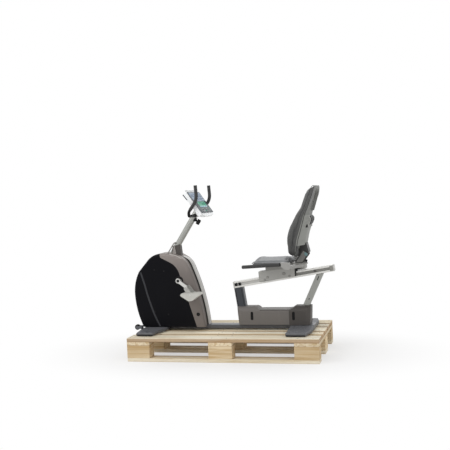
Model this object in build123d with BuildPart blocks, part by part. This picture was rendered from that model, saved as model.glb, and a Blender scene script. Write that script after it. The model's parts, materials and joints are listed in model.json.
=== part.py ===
from build123d import *
from math import atan2, cos, degrees, hypot, radians, sin, tan
import os

# Recumbent exercise bike standing on a timber pallet. Millimetres.
# X runs along the bike: -X is the front, where the pedals are, +X is the seat end.
# -Y is the rider's left. Z is up, with zero at the underside of the pallet.
# The origin is at the middle of the whole outline.

os.makedirs("parts", exist_ok=True)


# ---------------------------------------------------------------- driving sizes
# Pallet
PALLET_LENGTH = 1445
PALLET_WIDTH = 800
PALLET_X = -22
BOARD_THICKNESS = 27
BLOCK_HEIGHT = 95
BLOCK_LENGTH = 178
OUTER_BLOCK_WIDTH = 100
MIDDLE_BLOCK_WIDTH = 145
DECK_BOARD_WIDTHS = (145, 100, 145, 100, 145)
DECK_HEIGHT = BLOCK_HEIGHT + 3 * BOARD_THICKNESS

# Bike datum: all heights below are above the deck, all lengths from BIKE_X
BIKE_X = -9.9
FIT = 0.3

# Base
PAD_HEIGHT = 6
PAD_RADIUS = 22
BEAM_HALF_WIDTH = 42
BEAM_BOTTOM = 12
BEAM_TOP = 40
MEMBER_HALF_WIDTH = 60
FRONT_MEMBER_START = -700
BEAM_START = -516
BEAM_END = 455
REAR_MEMBER_END = 632
FOOT_REACH = 330
FOOT_TIP_TOP = 27
REAR_FOOT_ROOT_TOP = 38
FRONT_PAD_X = -620
REAR_PAD_X = 530
PAD_Y = 298

# Transport wheels
WHEEL_RADIUS = 21
WHEEL_WIDTH = 22
WHEEL_Y = 150
WHEEL_REACH = 40
WHEEL_HEIGHT = 40
WHEEL_PIN_RADIUS = 5
RUNNING_FIT = 0.05
WHEEL_CLEARANCE = 5
CHEEK_THICKNESS = 5
CHEEK_RADIUS = 11
BRACKET_PLATE = 6
BRACKET_PLATE_BOTTOM = 8

# Housing
HOUSING_HALF_WIDTH = 100
HOUSING_BOTTOM = 31
HOUSING_WALL = 25
HOUSING_EDGE_RADIUS = 20
SPINE_HALF_WIDTH = 55
SPINE_THICKNESS = 22
FLYWHEEL_RADIUS = 140
FLYWHEEL_WIDTH = 36
FLYWHEEL_X = -600
FLYWHEEL_Z = 290
INLET_RADIUS = 11
INLET_BORE_RADIUS = 4
INLET_DEPTH = 12
INLET_X = -257
INLET_Z = 130

# Crank and pedals
CRANK_X = -401
CRANK_Z = 393
CRANK_LENGTH = 160
CRANK_ANGLE = -37
AXLE_RADIUS = 10
BEARING_RADIUS = 24
BEARING_HALF_LENGTH = 104
ARM_INNER_Y = 112
ARM_THICKNESS = 14
ARM_WIDTH = 30
SPINDLE_RADIUS = 7
PEDAL_INNER_Y = 145
PEDAL_WIDTH = 90
PEDAL_TOP = 11
STRAP_WIDTH = 32
STRAP_THICKNESS = 3
STRAP_HEIGHT = 60
STRAP_LEAN = 35
STRAP_X = -5

# Mast, clamp and handlebar
MAST_X = -400
MAST_Z = 709
MAST_LEAN = 33.4
MAST_RADIUS = 24
MAST_FOOT = -190
MAST_TOP = 300
BOOT_HALF_WIDTH = 28
BAR_X = -272
BAR_Z = 890
BAR_RADIUS = 11
BAR_HALF_SPREAD = 182
GRIP_RADIUS = 13
CLAMP_RADIUS = 14.5
CLAMP_HALF_WIDTH = 30
KNOB_ALONG_MAST = 190
KNOB_SCREW_RADIUS = 5
KNOB_REACH = 40
HOOP_ROD_RADIUS = 5
HOOP_HALF_SPREAD = 48

# Console
CONSOLE_HALF_WIDTH = 162
CONSOLE_LIP = 30
CONSOLE_CORNER_LIP = 5
FACE_TOP_X = -287
FACE_TOP_Z = 1074
FACE_BOTTOM_X = -172
FACE_BOTTOM_Z = 906
FACE_THICKNESS = 3
FACE_MARGIN = 3
RACK_HEIGHT = 22
RACK_THICKNESS = 3

# Seat rail
RAIL_X = 17
RAIL_UNDER_Z = 319
RAIL_SLOPE = 8.7
RAIL_LENGTH = 770
RAIL_HEIGHT = 49
RAIL_HALF_WIDTH = 30
RAIL_CAP = 10
ROLLER_RADIUS = 10
GROOVE_DEPTH = 8
POST_HALF_WIDTH = 30
STRUT_HALF_WIDTH = 20

# Shroud under the rail
SHROUD_START = 40
SHROUD_END = 609
SHROUD_FOOT_START = 57
SHROUD_FOOT_END = 598
SHROUD_HALF_WIDTH = 68
SHROUD_CORNER = 40
SHROUD_CROWN = 42
SHROUD_HIGH = 181
SHROUD_LOW = 156
SHROUD_WALL = 5
SHROUD_SPLIT = 446
SHROUD_OVERLAP = 3
SLOT_HEIGHT = 62
SLOT_WIDTH = 18
SLOT_Z = 111

# Seat carriage and seat
CARRIAGE_GAP = 6
CARRIAGE_PLATE = 6
SEAT_FRAME_HALF_WIDTH = 60
SEAT_FRAME_TOP = 508
SEAT_FRAME_START = 279
SEAT_FRAME_END = 578
SEAT_FRAME_END_BOTTOM = 462
SEAT_HALF_WIDTH = 210
SEAT_CUSHION_HEIGHT = 40
SEAT_CORNER = 40
HANDLE_X = 480
HANDLE_Z = 491
SIDE_HANDLE_Y = 250
SIDE_HANDLE_RADIUS = 11
SIDE_GRIP_RADIUS = 13
HANDLE_BRACKET_HALF_WIDTH = 13

# Backrest
PIVOT_X = 560
PIVOT_Z = 560
PIVOT_PIN_RADIUS = 6
PIVOT_BARREL_RADIUS = 16
BACK_ARM_HALF_WIDTH = 46
EAR_GAP = 5
EAR_THICKNESS = 6
BACK_HALF_WIDTH = 186
BACK_SHELL_HALF_WIDTH = 181
BACK_SHELL_FLAT = 80
BACK_SHELL_EDGE = 0.25
BACK_BOTTOM = 556
BACK_TOP = 1080
BACK_CORNER = 70


# ------------------------------------------------------------- working planes
# Side view of the bike: local x is the bike's length, local y its height above
# the deck, and the plane's normal points to the rider's left.
SIDE = Plane(origin=(BIKE_X, 0, DECK_HEIGHT), x_dir=(1, 0, 0), z_dir=(0, -1, 0))
# Plan view of the bike at deck level.
PLAN = Plane(origin=(BIKE_X, 0, DECK_HEIGHT), x_dir=(1, 0, 0), z_dir=(0, 0, 1))
# View along the bike: local x is the rider's right, local y is up.
ACROSS = Plane(origin=(BIKE_X, 0, DECK_HEIGHT), x_dir=(0, 1, 0), z_dir=(1, 0, 0))
BOTH_SIDES = (("left", 1), ("right", -1))


def save(builder, name):
    """Label a finished piece and write its file."""
    builder.part.label = name
    export_step(builder.part, f"parts/{name}.step")


def side_plane(x, z, angle=0):
    """Side-view plane with its origin at a point and its local x turned up by angle."""
    turn = radians(angle)
    return Plane(
        origin=(BIKE_X + x, 0, DECK_HEIGHT + z),
        x_dir=(cos(turn), 0, sin(turn)),
        z_dir=(0, -1, 0),
    )


def polygon_face(points):
    """Flat face inside straight lines through the points."""
    with BuildSketch() as face:
        with BuildLine():
            Polyline(*points, close=True)
        make_face()
    return face.sketch


# --------------------------------------------------------------------- pallet
def rows_of_boards(widths):
    """Centre and width of each board of a row that spans the pallet's width."""
    gap = (PALLET_WIDTH - sum(widths)) / (len(widths) - 1)
    rows = []
    edge = -PALLET_WIDTH / 2
    for width in widths:
        rows.append((edge + width / 2, width))
        edge += width + gap
    return rows


BLOCK_ROWS = rows_of_boards((OUTER_BLOCK_WIDTH, MIDDLE_BLOCK_WIDTH, OUTER_BLOCK_WIDTH))
DECK_ROWS = rows_of_boards(DECK_BOARD_WIDTHS)
STATION_STEP = (PALLET_LENGTH - BLOCK_LENGTH) / 2
STATIONS = [PALLET_X + step * STATION_STEP for step in (-1, 0, 1)]


def long_boards(rows, bottom):
    """Boards along the pallet, one for each row."""
    with BuildPart() as boards:
        for centre, width in rows:
            with BuildSketch(Plane.XY.offset(bottom)):
                with Locations((PALLET_X, centre)):
                    Rectangle(PALLET_LENGTH, width)
            extrude(amount=BOARD_THICKNESS)
    return boards


save(long_boards(BLOCK_ROWS, 0), "pallet_bottom_boards")
save(long_boards(DECK_ROWS, DECK_HEIGHT - BOARD_THICKNESS), "pallet_deck_boards")

with BuildPart() as pallet_blocks:
    for centre, width in BLOCK_ROWS:
        with BuildSketch(Plane.XY.offset(BOARD_THICKNESS)):
            with Locations([(station, centre) for station in STATIONS]):
                Rectangle(BLOCK_LENGTH, width)
        extrude(amount=BLOCK_HEIGHT)
save(pallet_blocks, "pallet_blocks")

with BuildPart() as pallet_cross_boards:
    with BuildSketch(Plane.XY.offset(BOARD_THICKNESS + BLOCK_HEIGHT)):
        with Locations([(station, 0) for station in STATIONS]):
            Rectangle(BLOCK_LENGTH, PALLET_WIDTH)
    extrude(amount=BOARD_THICKNESS)
save(pallet_cross_boards, "pallet_cross_boards")


# ----------------------------------------------------------------------- base
with BuildPart() as base_beam:
    with BuildSketch(PLAN.offset(BEAM_BOTTOM)):
        with Locations(((BEAM_START + BEAM_END) / 2, 0)):
            Rectangle(BEAM_END - BEAM_START, 2 * BEAM_HALF_WIDTH)
    extrude(amount=BEAM_TOP - BEAM_BOTTOM)
save(base_beam, "base_beam")


def cross_member(start, end, top):
    """Steel plate box that the beam's end and the feet are fixed to."""
    with BuildPart() as member:
        with BuildSketch(PLAN.offset(PAD_HEIGHT)):
            with Locations(((start + end) / 2, 0)):
                Rectangle(end - start, 2 * MEMBER_HALF_WIDTH)
        extrude(amount=top - PAD_HEIGHT)
    return member


save(cross_member(FRONT_MEMBER_START, BEAM_START, HOUSING_BOTTOM), "front_cross_member")
save(cross_member(BEAM_END, REAR_MEMBER_END, BEAM_TOP), "rear_cross_member")

# Foot outlines seen from above, one side: length, distance out from the middle
FRONT_FOOT = (
    (FRONT_MEMBER_START, MEMBER_HALF_WIDTH),
    (FRONT_MEMBER_START, WHEEL_Y + 35),
    (-684, FOOT_REACH),
    (-553, FOOT_REACH),
    (-545, 230),
    (BEAM_START, 120),
    (BEAM_START, MEMBER_HALF_WIDTH),
)
REAR_FOOT = (
    (BEAM_END, MEMBER_HALF_WIDTH),
    (460, FOOT_REACH),
    (606, FOOT_REACH),
    (REAR_MEMBER_END, 200),
    (REAR_MEMBER_END, MEMBER_HALF_WIDTH),
)


def feet(outline, root_top):
    """Pair of foot covers that slope down to their outer ends."""
    slope_profile = (
        (MEMBER_HALF_WIDTH, PAD_HEIGHT),
        (FOOT_REACH, PAD_HEIGHT),
        (FOOT_REACH, FOOT_TIP_TOP),
        (MEMBER_HALF_WIDTH, root_top),
    )
    with BuildPart() as pair:
        for _, side in BOTH_SIDES:
            with BuildPart(mode=Mode.PRIVATE) as foot:
                with BuildSketch(PLAN):
                    add(polygon_face([(x, -side * y) for x, y in outline]))
                extrude(amount=root_top)
                with BuildSketch(ACROSS):
                    add(polygon_face([(-side * y, z) for y, z in slope_profile]))
                extrude(amount=2 * PALLET_LENGTH, both=True, mode=Mode.INTERSECT)
            add(foot.part)
    return pair


save(feet(FRONT_FOOT, HOUSING_BOTTOM - 1), "front_feet")
save(feet(REAR_FOOT, REAR_FOOT_ROOT_TOP), "rear_feet")

with BuildPart() as foot_pads:
    with BuildSketch(PLAN):
        for pad_x in (FRONT_PAD_X, REAR_PAD_X):
            with Locations((pad_x, PAD_Y), (pad_x, -PAD_Y)):
                Circle(PAD_RADIUS)
    extrude(amount=PAD_HEIGHT)
save(foot_pads, "foot_pads")


# ---------------------------------------------------------- transport wheels
WHEEL_X = FRONT_MEMBER_START - WHEEL_REACH
CHEEK_INNER = WHEEL_WIDTH / 2 + WHEEL_CLEARANCE
CHEEK_OUTER = CHEEK_INNER + CHEEK_THICKNESS
BRACKET_PLATE_TOP = WHEEL_HEIGHT + CHEEK_RADIUS

with BuildPart() as wheel_brackets:
    for _, side in BOTH_SIDES:
        middle = SIDE.offset(side * WHEEL_Y)
        with BuildSketch(middle):
            with Locations((FRONT_MEMBER_START - BRACKET_PLATE / 2, (BRACKET_PLATE_BOTTOM + BRACKET_PLATE_TOP) / 2)):
                Rectangle(BRACKET_PLATE, BRACKET_PLATE_TOP - BRACKET_PLATE_BOTTOM)
        extrude(amount=CHEEK_OUTER, both=True)
        for cheek in (-1, 1):
            with BuildSketch(middle.offset(cheek * (CHEEK_INNER + CHEEK_OUTER) / 2)):
                with Locations((WHEEL_X, WHEEL_HEIGHT)):
                    Circle(CHEEK_RADIUS)
                with Locations(((WHEEL_X + FRONT_MEMBER_START - BRACKET_PLATE) / 2, WHEEL_HEIGHT)):
                    Rectangle(FRONT_MEMBER_START - BRACKET_PLATE - WHEEL_X, 2 * CHEEK_RADIUS)
            extrude(amount=CHEEK_THICKNESS / 2, both=True)
        with BuildSketch(middle):
            with Locations((WHEEL_X, WHEEL_HEIGHT)):
                Circle(WHEEL_PIN_RADIUS)
        extrude(amount=CHEEK_OUTER, both=True)
save(wheel_brackets, "wheel_brackets")

for name, side in BOTH_SIDES:
    with BuildPart() as wheel:
        with BuildSketch(SIDE.offset(side * WHEEL_Y)):
            with Locations((WHEEL_X, WHEEL_HEIGHT)):
                Circle(WHEEL_RADIUS)
                Circle(WHEEL_PIN_RADIUS + RUNNING_FIT, mode=Mode.SUBTRACT)
        extrude(amount=WHEEL_WIDTH / 2, both=True)
        rims = wheel.edges().filter_by(GeomType.CIRCLE).group_by(SortBy.RADIUS)[-1]
        fillet(rims, radius=3)
    save(wheel, f"transport_wheel_{name}")


# -------------------------------------------------------------------- housing
# The outline runs from the rear foot of the housing forwards, up over the nose and
# back down the spine; each arc leaves the one before it without a corner.
HOUSING_REAR = -205
HOUSING_FRONT = -716
NOSE = (-777, 290)
with BuildSketch() as housing_outline:
    with BuildLine():
        Line((HOUSING_REAR, HOUSING_BOTTOM), (HOUSING_FRONT, HOUSING_BOTTOM))
        shin = ThreePointArc((HOUSING_FRONT, HOUSING_BOTTOM), (-761, 165), NOSE)
        TangentArc(NOSE, (-735, 466), tangent=shin % 1)
        shoulder = Line((-735, 466), (-657, 554))
        crown = TangentArc((-657, 554), (-565, 603), tangent=shoulder % 1)
        top = TangentArc((-565, 603), (-390, 577), tangent=crown % 1)
        brow = TangentArc((-390, 577), (-323, 508), tangent=top % 1)
        TangentArc((-323, 508), (HOUSING_REAR, HOUSING_BOTTOM), tangent=brow % 1)
    make_face()

# The cavity is open at the rear foot, where the beam passes out
BEAM_WAY_START = BEAM_START - FIT
BEAM_WAY_END = -180
with BuildSketch() as cavity_outline:
    add(housing_outline.sketch)
    offset(amount=-HOUSING_WALL)
    with Locations(((BEAM_WAY_START + BEAM_WAY_END) / 2, BEAM_TOP / 2)):
        Rectangle(BEAM_WAY_END - BEAM_WAY_START, BEAM_TOP + 2 * FIT)

with BuildSketch() as spine_outline:
    add(housing_outline.sketch)
    with BuildSketch(mode=Mode.PRIVATE) as spine_inner:
        add(housing_outline.sketch)
        offset(amount=-SPINE_THICKNESS)
    add(spine_inner.sketch, mode=Mode.SUBTRACT)
    add(
        polygon_face([(-378, 620), (-150, 620), (-150, BEAM_TOP + FIT), (-260, BEAM_TOP + FIT), (-390, 520)]),
        mode=Mode.INTERSECT,
    )

# Line between the dark side cover and the grey band, and the crease behind the nose
with BuildSketch() as front_region:
    with BuildLine():
        ThreePointArc((-731, 510), (-668, 290), (-552, 0))
        Polyline((-552, 0), (-850, 0), (-850, 510), (-731, 510))
    make_face()

with BuildSketch() as rear_region:
    with BuildLine():
        Polyline((-560, 630), (-545, 574), (-452, 526))
        ThreePointArc((-452, 526), (-415, 488), (-393, 435))
        Polyline((-393, 435), (-262, 0), (-100, 0), (-100, 630), (-560, 630))
    make_face()

# Room for the beam under the spine
RELIEF_X = -230
RELIEF_LENGTH = 80
with BuildPart() as left_shell:
    with BuildSketch(SIDE):
        add(housing_outline.sketch)
    extrude(amount=HOUSING_HALF_WIDTH)
    outer_face = left_shell.faces().sort_by(Axis.Y)[0]
    fillet(outer_face.edges().filter_by(lambda e: e.center().Z > DECK_HEIGHT + BEAM_TOP), radius=HOUSING_EDGE_RADIUS)
    with BuildSketch(SIDE):
        add(cavity_outline.sketch)
    extrude(amount=BEAM_HALF_WIDTH + FIT, mode=Mode.SUBTRACT)
    with BuildSketch(SIDE):
        add(spine_outline.sketch)
    extrude(amount=SPINE_HALF_WIDTH, mode=Mode.SUBTRACT)
    with BuildSketch(SIDE):
        with Locations((RELIEF_X, BEAM_TOP / 2)):
            Rectangle(RELIEF_LENGTH, BEAM_TOP + 2 * FIT)
    extrude(amount=SPINE_HALF_WIDTH, mode=Mode.SUBTRACT)
    with BuildSketch(SIDE):
        with Locations((CRANK_X, CRANK_Z)):
            Circle(BEARING_RADIUS)
    extrude(amount=HOUSING_HALF_WIDTH, mode=Mode.SUBTRACT)

with BuildPart() as housing_front_cover:
    add(left_shell.part)
    mirror(left_shell.part, about=Plane.XZ)
    with BuildSketch(SIDE):
        add(front_region.sketch)
    extrude(amount=HOUSING_HALF_WIDTH, both=True, mode=Mode.INTERSECT)
save(housing_front_cover, "housing_front_cover")

with BuildPart() as left_side_cover:
    add(left_shell.part)
    for region in (front_region, rear_region):
        with BuildSketch(SIDE):
            add(region.sketch)
        extrude(amount=HOUSING_HALF_WIDTH, both=True, mode=Mode.SUBTRACT)
save(left_side_cover, "side_cover_left")

with BuildPart() as right_side_cover:
    mirror(left_side_cover.part, about=Plane.XZ)
save(right_side_cover, "side_cover_right")

with BuildPart() as right_rear_band:
    mirror(left_shell.part, about=Plane.XZ)
    with BuildSketch(SIDE):
        add(rear_region.sketch)
    extrude(amount=HOUSING_HALF_WIDTH, both=True, mode=Mode.INTERSECT)
save(right_rear_band, "rear_band_right")

with BuildPart() as left_rear_band:
    mirror(right_rear_band.part, about=Plane.XZ)
    with BuildSketch(SIDE.offset(HOUSING_HALF_WIDTH)):
        with Locations((INLET_X, INLET_Z)):
            Circle(INLET_RADIUS)
    extrude(amount=-INLET_DEPTH, mode=Mode.SUBTRACT)
save(left_rear_band, "rear_band_left")

with BuildPart() as power_inlet:
    with BuildSketch(SIDE.offset(HOUSING_HALF_WIDTH)):
        with Locations((INLET_X, INLET_Z)):
            Circle(INLET_RADIUS)
            Circle(INLET_BORE_RADIUS, mode=Mode.SUBTRACT)
    extrude(amount=-INLET_DEPTH)
save(power_inlet, "power_inlet")

with BuildPart() as spine_strip:
    with BuildSketch(SIDE):
        add(spine_outline.sketch)
    extrude(amount=SPINE_HALF_WIDTH, both=True)
save(spine_strip, "spine_strip")

with BuildPart() as flywheel:
    with BuildSketch(SIDE):
        with Locations((FLYWHEEL_X, FLYWHEEL_Z)):
            Circle(FLYWHEEL_RADIUS)
    extrude(amount=FLYWHEEL_WIDTH / 2, both=True)
    with BuildSketch(SIDE):
        with Locations((FLYWHEEL_X, FLYWHEEL_Z)):
            Circle(AXLE_RADIUS)
    extrude(amount=BEAM_HALF_WIDTH, both=True)
save(flywheel, "flywheel")


# ----------------------------------------------------------- crank and pedals
with BuildPart() as crank_bearing:
    with BuildSketch(SIDE):
        with Locations((CRANK_X, CRANK_Z)):
            Circle(BEARING_RADIUS)
            Circle(AXLE_RADIUS + RUNNING_FIT, mode=Mode.SUBTRACT)
    extrude(amount=BEARING_HALF_LENGTH, both=True)
save(crank_bearing, "crank_bearing")

with BuildPart() as crank_axle:
    with BuildSketch(SIDE):
        with Locations((CRANK_X, CRANK_Z)):
            Circle(AXLE_RADIUS)
    extrude(amount=ARM_INNER_Y, both=True)
save(crank_axle, "crank_axle")

ARM_OUTER_Y = ARM_INNER_Y + ARM_THICKNESS
PEDAL_Y = PEDAL_INNER_Y + PEDAL_WIDTH / 2
SPINDLE_END_Y = PEDAL_INNER_Y + PEDAL_WIDTH - 10
# Pedal body seen from its side, about the spindle: length, height
PEDAL_PROFILE = (
    (-78, 0),
    (-72, PEDAL_TOP),
    (74, PEDAL_TOP),
    (80, 3),
    (12, -44),
    (-14, -46),
    (-74, -8),
)


def crank_arm(side):
    """One crank arm with its pedal spindle."""
    turn = CRANK_ANGLE if side > 0 else CRANK_ANGLE + 180
    arm_plane = side_plane(CRANK_X, CRANK_Z, turn)
    with BuildPart() as arm:
        with BuildSketch(arm_plane.offset(side * ARM_INNER_Y)):
            Circle(ARM_WIDTH / 2 + 4)
            with Locations((CRANK_LENGTH / 2, 0)):
                SlotCenterToCenter(CRANK_LENGTH, ARM_WIDTH - 4)
        extrude(amount=side * ARM_THICKNESS)
        with BuildSketch(arm_plane.offset(side * ARM_OUTER_Y)):
            with Locations((CRANK_LENGTH, 0)):
                Circle(SPINDLE_RADIUS)
        extrude(amount=side * (SPINDLE_END_Y - ARM_OUTER_Y))
    return arm


def pedal_centre(side):
    """Length and height of the pedal spindle on one side."""
    turn = radians(CRANK_ANGLE)
    return (
        CRANK_X + side * CRANK_LENGTH * cos(turn),
        CRANK_Z + side * CRANK_LENGTH * sin(turn),
    )


def pedal_body(side):
    """Weighted platform pedal that hangs level on its spindle."""
    centre_x, centre_z = pedal_centre(side)
    plane = side_plane(centre_x, centre_z).offset(side * PEDAL_Y)
    with BuildPart() as body:
        with BuildSketch(plane):
            add(polygon_face(PEDAL_PROFILE))
        extrude(amount=PEDAL_WIDTH / 2, both=True)
        with BuildSketch(plane):
            Circle(SPINDLE_RADIUS + RUNNING_FIT)
        extrude(amount=PEDAL_WIDTH / 2, both=True, mode=Mode.SUBTRACT)
    return body


def pedal_strap(side):
    """Strap that arches over the foot, leaning forward."""
    centre_x, centre_z = pedal_centre(side)
    lean = radians(STRAP_LEAN)
    base = (BIKE_X + centre_x + STRAP_X, -side * PEDAL_Y, DECK_HEIGHT + centre_z + PEDAL_TOP)
    arch = Plane(origin=base, x_dir=(0, 1, 0), z_dir=(cos(lean), 0, sin(lean)))
    leg_depth = 25
    with BuildPart() as strap:
        with BuildSketch(arch):
            with Locations((0, (STRAP_HEIGHT - leg_depth) / 2)):
                RectangleRounded(PEDAL_WIDTH - 4, STRAP_HEIGHT + leg_depth, 24)
            with Locations((0, (STRAP_HEIGHT - leg_depth) / 2)):
                RectangleRounded(
                    PEDAL_WIDTH - 4 - 2 * STRAP_THICKNESS,
                    STRAP_HEIGHT + leg_depth - 2 * STRAP_THICKNESS,
                    24 - STRAP_THICKNESS,
                    mode=Mode.SUBTRACT,
                )
        extrude(amount=STRAP_WIDTH / 2, both=True)
        with BuildSketch(Plane.XY.offset(base[2])):
            with Locations((base[0], base[1])):
                Rectangle(3 * PEDAL_WIDTH, 2 * PEDAL_WIDTH)
        extrude(amount=-2 * STRAP_HEIGHT, mode=Mode.SUBTRACT)
    return strap


for name, side in BOTH_SIDES:
    save(crank_arm(side), f"crank_arm_{name}")
    save(pedal_body(side), f"pedal_{name}")
    save(pedal_strap(side), f"pedal_strap_{name}")


# ------------------------------------------------------------- mast and clamp
MAST_TURN = radians(MAST_LEAN)
# Console seen from its side; the mast runs up into its back
CONSOLE_PROFILE = (
    (FACE_TOP_X, FACE_TOP_Z),
    (FACE_BOTTOM_X, FACE_BOTTOM_Z),
    (-158, 884),
    (-182, 878),
    (-208, 893),
    (-232, 933),
    (-280, 1003),
    (-320, 1053),
)


def on_mast(along):
    """Length and height of a point on the mast's axis."""
    return (MAST_X + along * sin(MAST_TURN), MAST_Z + along * cos(MAST_TURN))


def mast_section(along):
    """Plane across the mast; local x points to the rider's right."""
    x, z = on_mast(along)
    return Plane(
        origin=(BIKE_X + x, 0, DECK_HEIGHT + z),
        x_dir=(0, 1, 0),
        z_dir=(sin(MAST_TURN), 0, cos(MAST_TURN)),
    )


with BuildPart() as mast:
    with BuildSketch(mast_section(MAST_FOOT)):
        Circle(MAST_RADIUS)
    extrude(amount=MAST_TOP - MAST_FOOT)
    with BuildSketch(SIDE):
        add(housing_outline.sketch)
        add(polygon_face(CONSOLE_PROFILE))
        with Locations((BAR_X, BAR_Z)):
            Circle(CLAMP_RADIUS)
    extrude(amount=HOUSING_HALF_WIDTH, both=True, mode=Mode.SUBTRACT)
save(mast, "mast")

with BuildPart() as mast_boot:
    with BuildSketch(SIDE):
        add(polygon_face([(-462, 660), (-405, 668), (-395, 560), (-486, 560)]))
        add(housing_outline.sketch, mode=Mode.SUBTRACT)
    extrude(amount=BOOT_HALF_WIDTH, both=True)
    slanted = mast_boot.edges().filter_by(lambda e: abs(e.center().Y) > 1 and e.bounding_box().size.Z > 60)
    fillet(slanted, radius=6)
    with BuildSketch(mast_section(MAST_FOOT)):
        Circle(MAST_RADIUS)
    extrude(amount=MAST_TOP - MAST_FOOT, mode=Mode.SUBTRACT)
save(mast_boot, "mast_boot")

with BuildPart() as handlebar_clamp:
    with BuildSketch(SIDE):
        with Locations((BAR_X, BAR_Z)):
            Circle(CLAMP_RADIUS)
            Circle(BAR_RADIUS + RUNNING_FIT, mode=Mode.SUBTRACT)
    extrude(amount=CLAMP_HALF_WIDTH, both=True)
save(handlebar_clamp, "handlebar_clamp")

KNOB_BASE = on_mast(KNOB_ALONG_MAST)
with BuildPart() as clamp_knob:
    knob_plane = side_plane(KNOB_BASE[0], KNOB_BASE[1], -MAST_LEAN)
    across_screw = Plane(origin=knob_plane.origin, x_dir=(0, 1, 0), z_dir=knob_plane.x_dir)
    with BuildSketch(across_screw.offset(MAST_RADIUS)):
        Circle(KNOB_SCREW_RADIUS)
    extrude(amount=KNOB_REACH - MAST_RADIUS + 5)
    with BuildSketch(across_screw.offset(KNOB_REACH)):
        RectangleRounded(20, 42, 8)
    extrude(amount=26)
    fillet(clamp_knob.faces().sort_by(Axis(across_screw.origin, across_screw.z_dir))[-1].edges(), radius=5)
save(clamp_knob, "clamp_knob")

HOOP_FOOT = (-506, 592)
HOOP_HEAD = (-457, 683)
HOOP_BEND = 18
with BuildPart() as front_hoop:
    with BuildLine() as hoop_line:
        FilletPolyline(
            (BIKE_X + HOOP_FOOT[0], -HOOP_HALF_SPREAD, DECK_HEIGHT + HOOP_FOOT[1]),
            (BIKE_X + HOOP_HEAD[0], -HOOP_HALF_SPREAD, DECK_HEIGHT + HOOP_HEAD[1]),
            (BIKE_X + HOOP_HEAD[0], HOOP_HALF_SPREAD, DECK_HEIGHT + HOOP_HEAD[1]),
            (BIKE_X + HOOP_FOOT[0], HOOP_HALF_SPREAD, DECK_HEIGHT + HOOP_FOOT[1]),
            radius=HOOP_BEND,
        )
    with BuildSketch(hoop_line.line ^ 0):
        Circle(HOOP_ROD_RADIUS)
    sweep()
    with BuildSketch(SIDE):
        add(housing_outline.sketch)
    extrude(amount=HOUSING_HALF_WIDTH, both=True, mode=Mode.SUBTRACT)
save(front_hoop, "front_hoop")


# ------------------------------------------------------------------ handlebar
# One side of the handlebar: length, distance out, height, bend radius there
BAR_ROUTE = (
    (BAR_X, BAR_HALF_SPREAD, BAR_Z, 26),
    (-267, BAR_HALF_SPREAD, 925, 45),
    (-202, BAR_HALF_SPREAD, 1013, 110),
    (-208, BAR_HALF_SPREAD, 1118, 0),
)
# The grip starts at this share of the leaning run, and caps the tube's end
GRIP_START = 0.15
GRIP_CAP = 4


def bar_points(side):
    """Corners of one half of the handlebar in space."""
    return [(BIKE_X + x, -side * y, DECK_HEIGHT + z) for x, y, z, _ in BAR_ROUTE]


with BuildPart() as handlebar_tube:
    bends = [row[3] for row in BAR_ROUTE[:-1]]
    with BuildLine() as bar_line:
        FilletPolyline(*bar_points(1)[::-1], *bar_points(-1), radius=bends[::-1] + bends)
    with BuildSketch(bar_line.line ^ 0):
        Circle(BAR_RADIUS)
    sweep()
save(handlebar_tube, "handlebar_tube")

with BuildPart() as handlebar_grips:
    for _, side in BOTH_SIDES:
        _, low, elbow, tip = [Vector(*point) for point in bar_points(side)]
        with BuildPart(mode=Mode.PRIVATE) as grip:
            with BuildLine() as grip_line:
                FilletPolyline(low + (elbow - low) * GRIP_START, elbow, tip, radius=BAR_ROUTE[2][3])
            with BuildSketch(grip_line.line ^ 0):
                Circle(GRIP_RADIUS)
            sweep()
            with BuildSketch(grip_line.line ^ 1):
                Circle(GRIP_RADIUS)
            extrude(amount=GRIP_CAP)
            add(handlebar_tube.part, mode=Mode.SUBTRACT)
        add(grip.part)
save(handlebar_grips, "handlebar_grips")


# -------------------------------------------------------------------- console
FACE_TILT = degrees(atan2(FACE_BOTTOM_Z - FACE_TOP_Z, FACE_BOTTOM_X - FACE_TOP_X))
FACE_LENGTH = hypot(FACE_BOTTOM_X - FACE_TOP_X, FACE_BOTTOM_Z - FACE_TOP_Z)
# Local x runs down the face, local y stands off it
FACE = side_plane(FACE_TOP_X, FACE_TOP_Z, FACE_TILT)
# The same surface seen square on: local x runs down it, local y across the bike
FACE_VIEW = Plane(origin=FACE.origin, x_dir=FACE.x_dir, z_dir=FACE.y_dir)

with BuildPart() as console_body:
    with BuildSketch(SIDE):
        add(polygon_face(CONSOLE_PROFILE))
    extrude(amount=CONSOLE_HALF_WIDTH, both=True)
    fillet(console_body.faces().sort_by(Axis.Y)[0].edges(), radius=4)
    fillet(console_body.faces().sort_by(Axis.Y)[-1].edges(), radius=4)
    with BuildSketch(FACE_VIEW):
        with BuildLine():
            ThreePointArc(
                (FACE_LENGTH + CONSOLE_CORNER_LIP, -CONSOLE_HALF_WIDTH),
                (FACE_LENGTH + CONSOLE_LIP, 0),
                (FACE_LENGTH + CONSOLE_CORNER_LIP, CONSOLE_HALF_WIDTH),
            )
            Polyline(
                (FACE_LENGTH + CONSOLE_CORNER_LIP, CONSOLE_HALF_WIDTH),
                (-FACE_LENGTH, CONSOLE_HALF_WIDTH),
                (-FACE_LENGTH, -CONSOLE_HALF_WIDTH),
                (FACE_LENGTH + CONSOLE_CORNER_LIP, -CONSOLE_HALF_WIDTH),
            )
        make_face()
    extrude(amount=FACE_LENGTH, both=True, mode=Mode.INTERSECT)
save(console_body, "console_body")

with BuildPart() as console_face:
    with BuildSketch(FACE):
        with Locations((FACE_LENGTH / 2, FACE_THICKNESS / 2)):
            Rectangle(FACE_LENGTH - 2 * FACE_MARGIN, FACE_THICKNESS)
    extrude(amount=CONSOLE_HALF_WIDTH - FACE_MARGIN, both=True)
save(console_face, "console_face")

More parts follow.
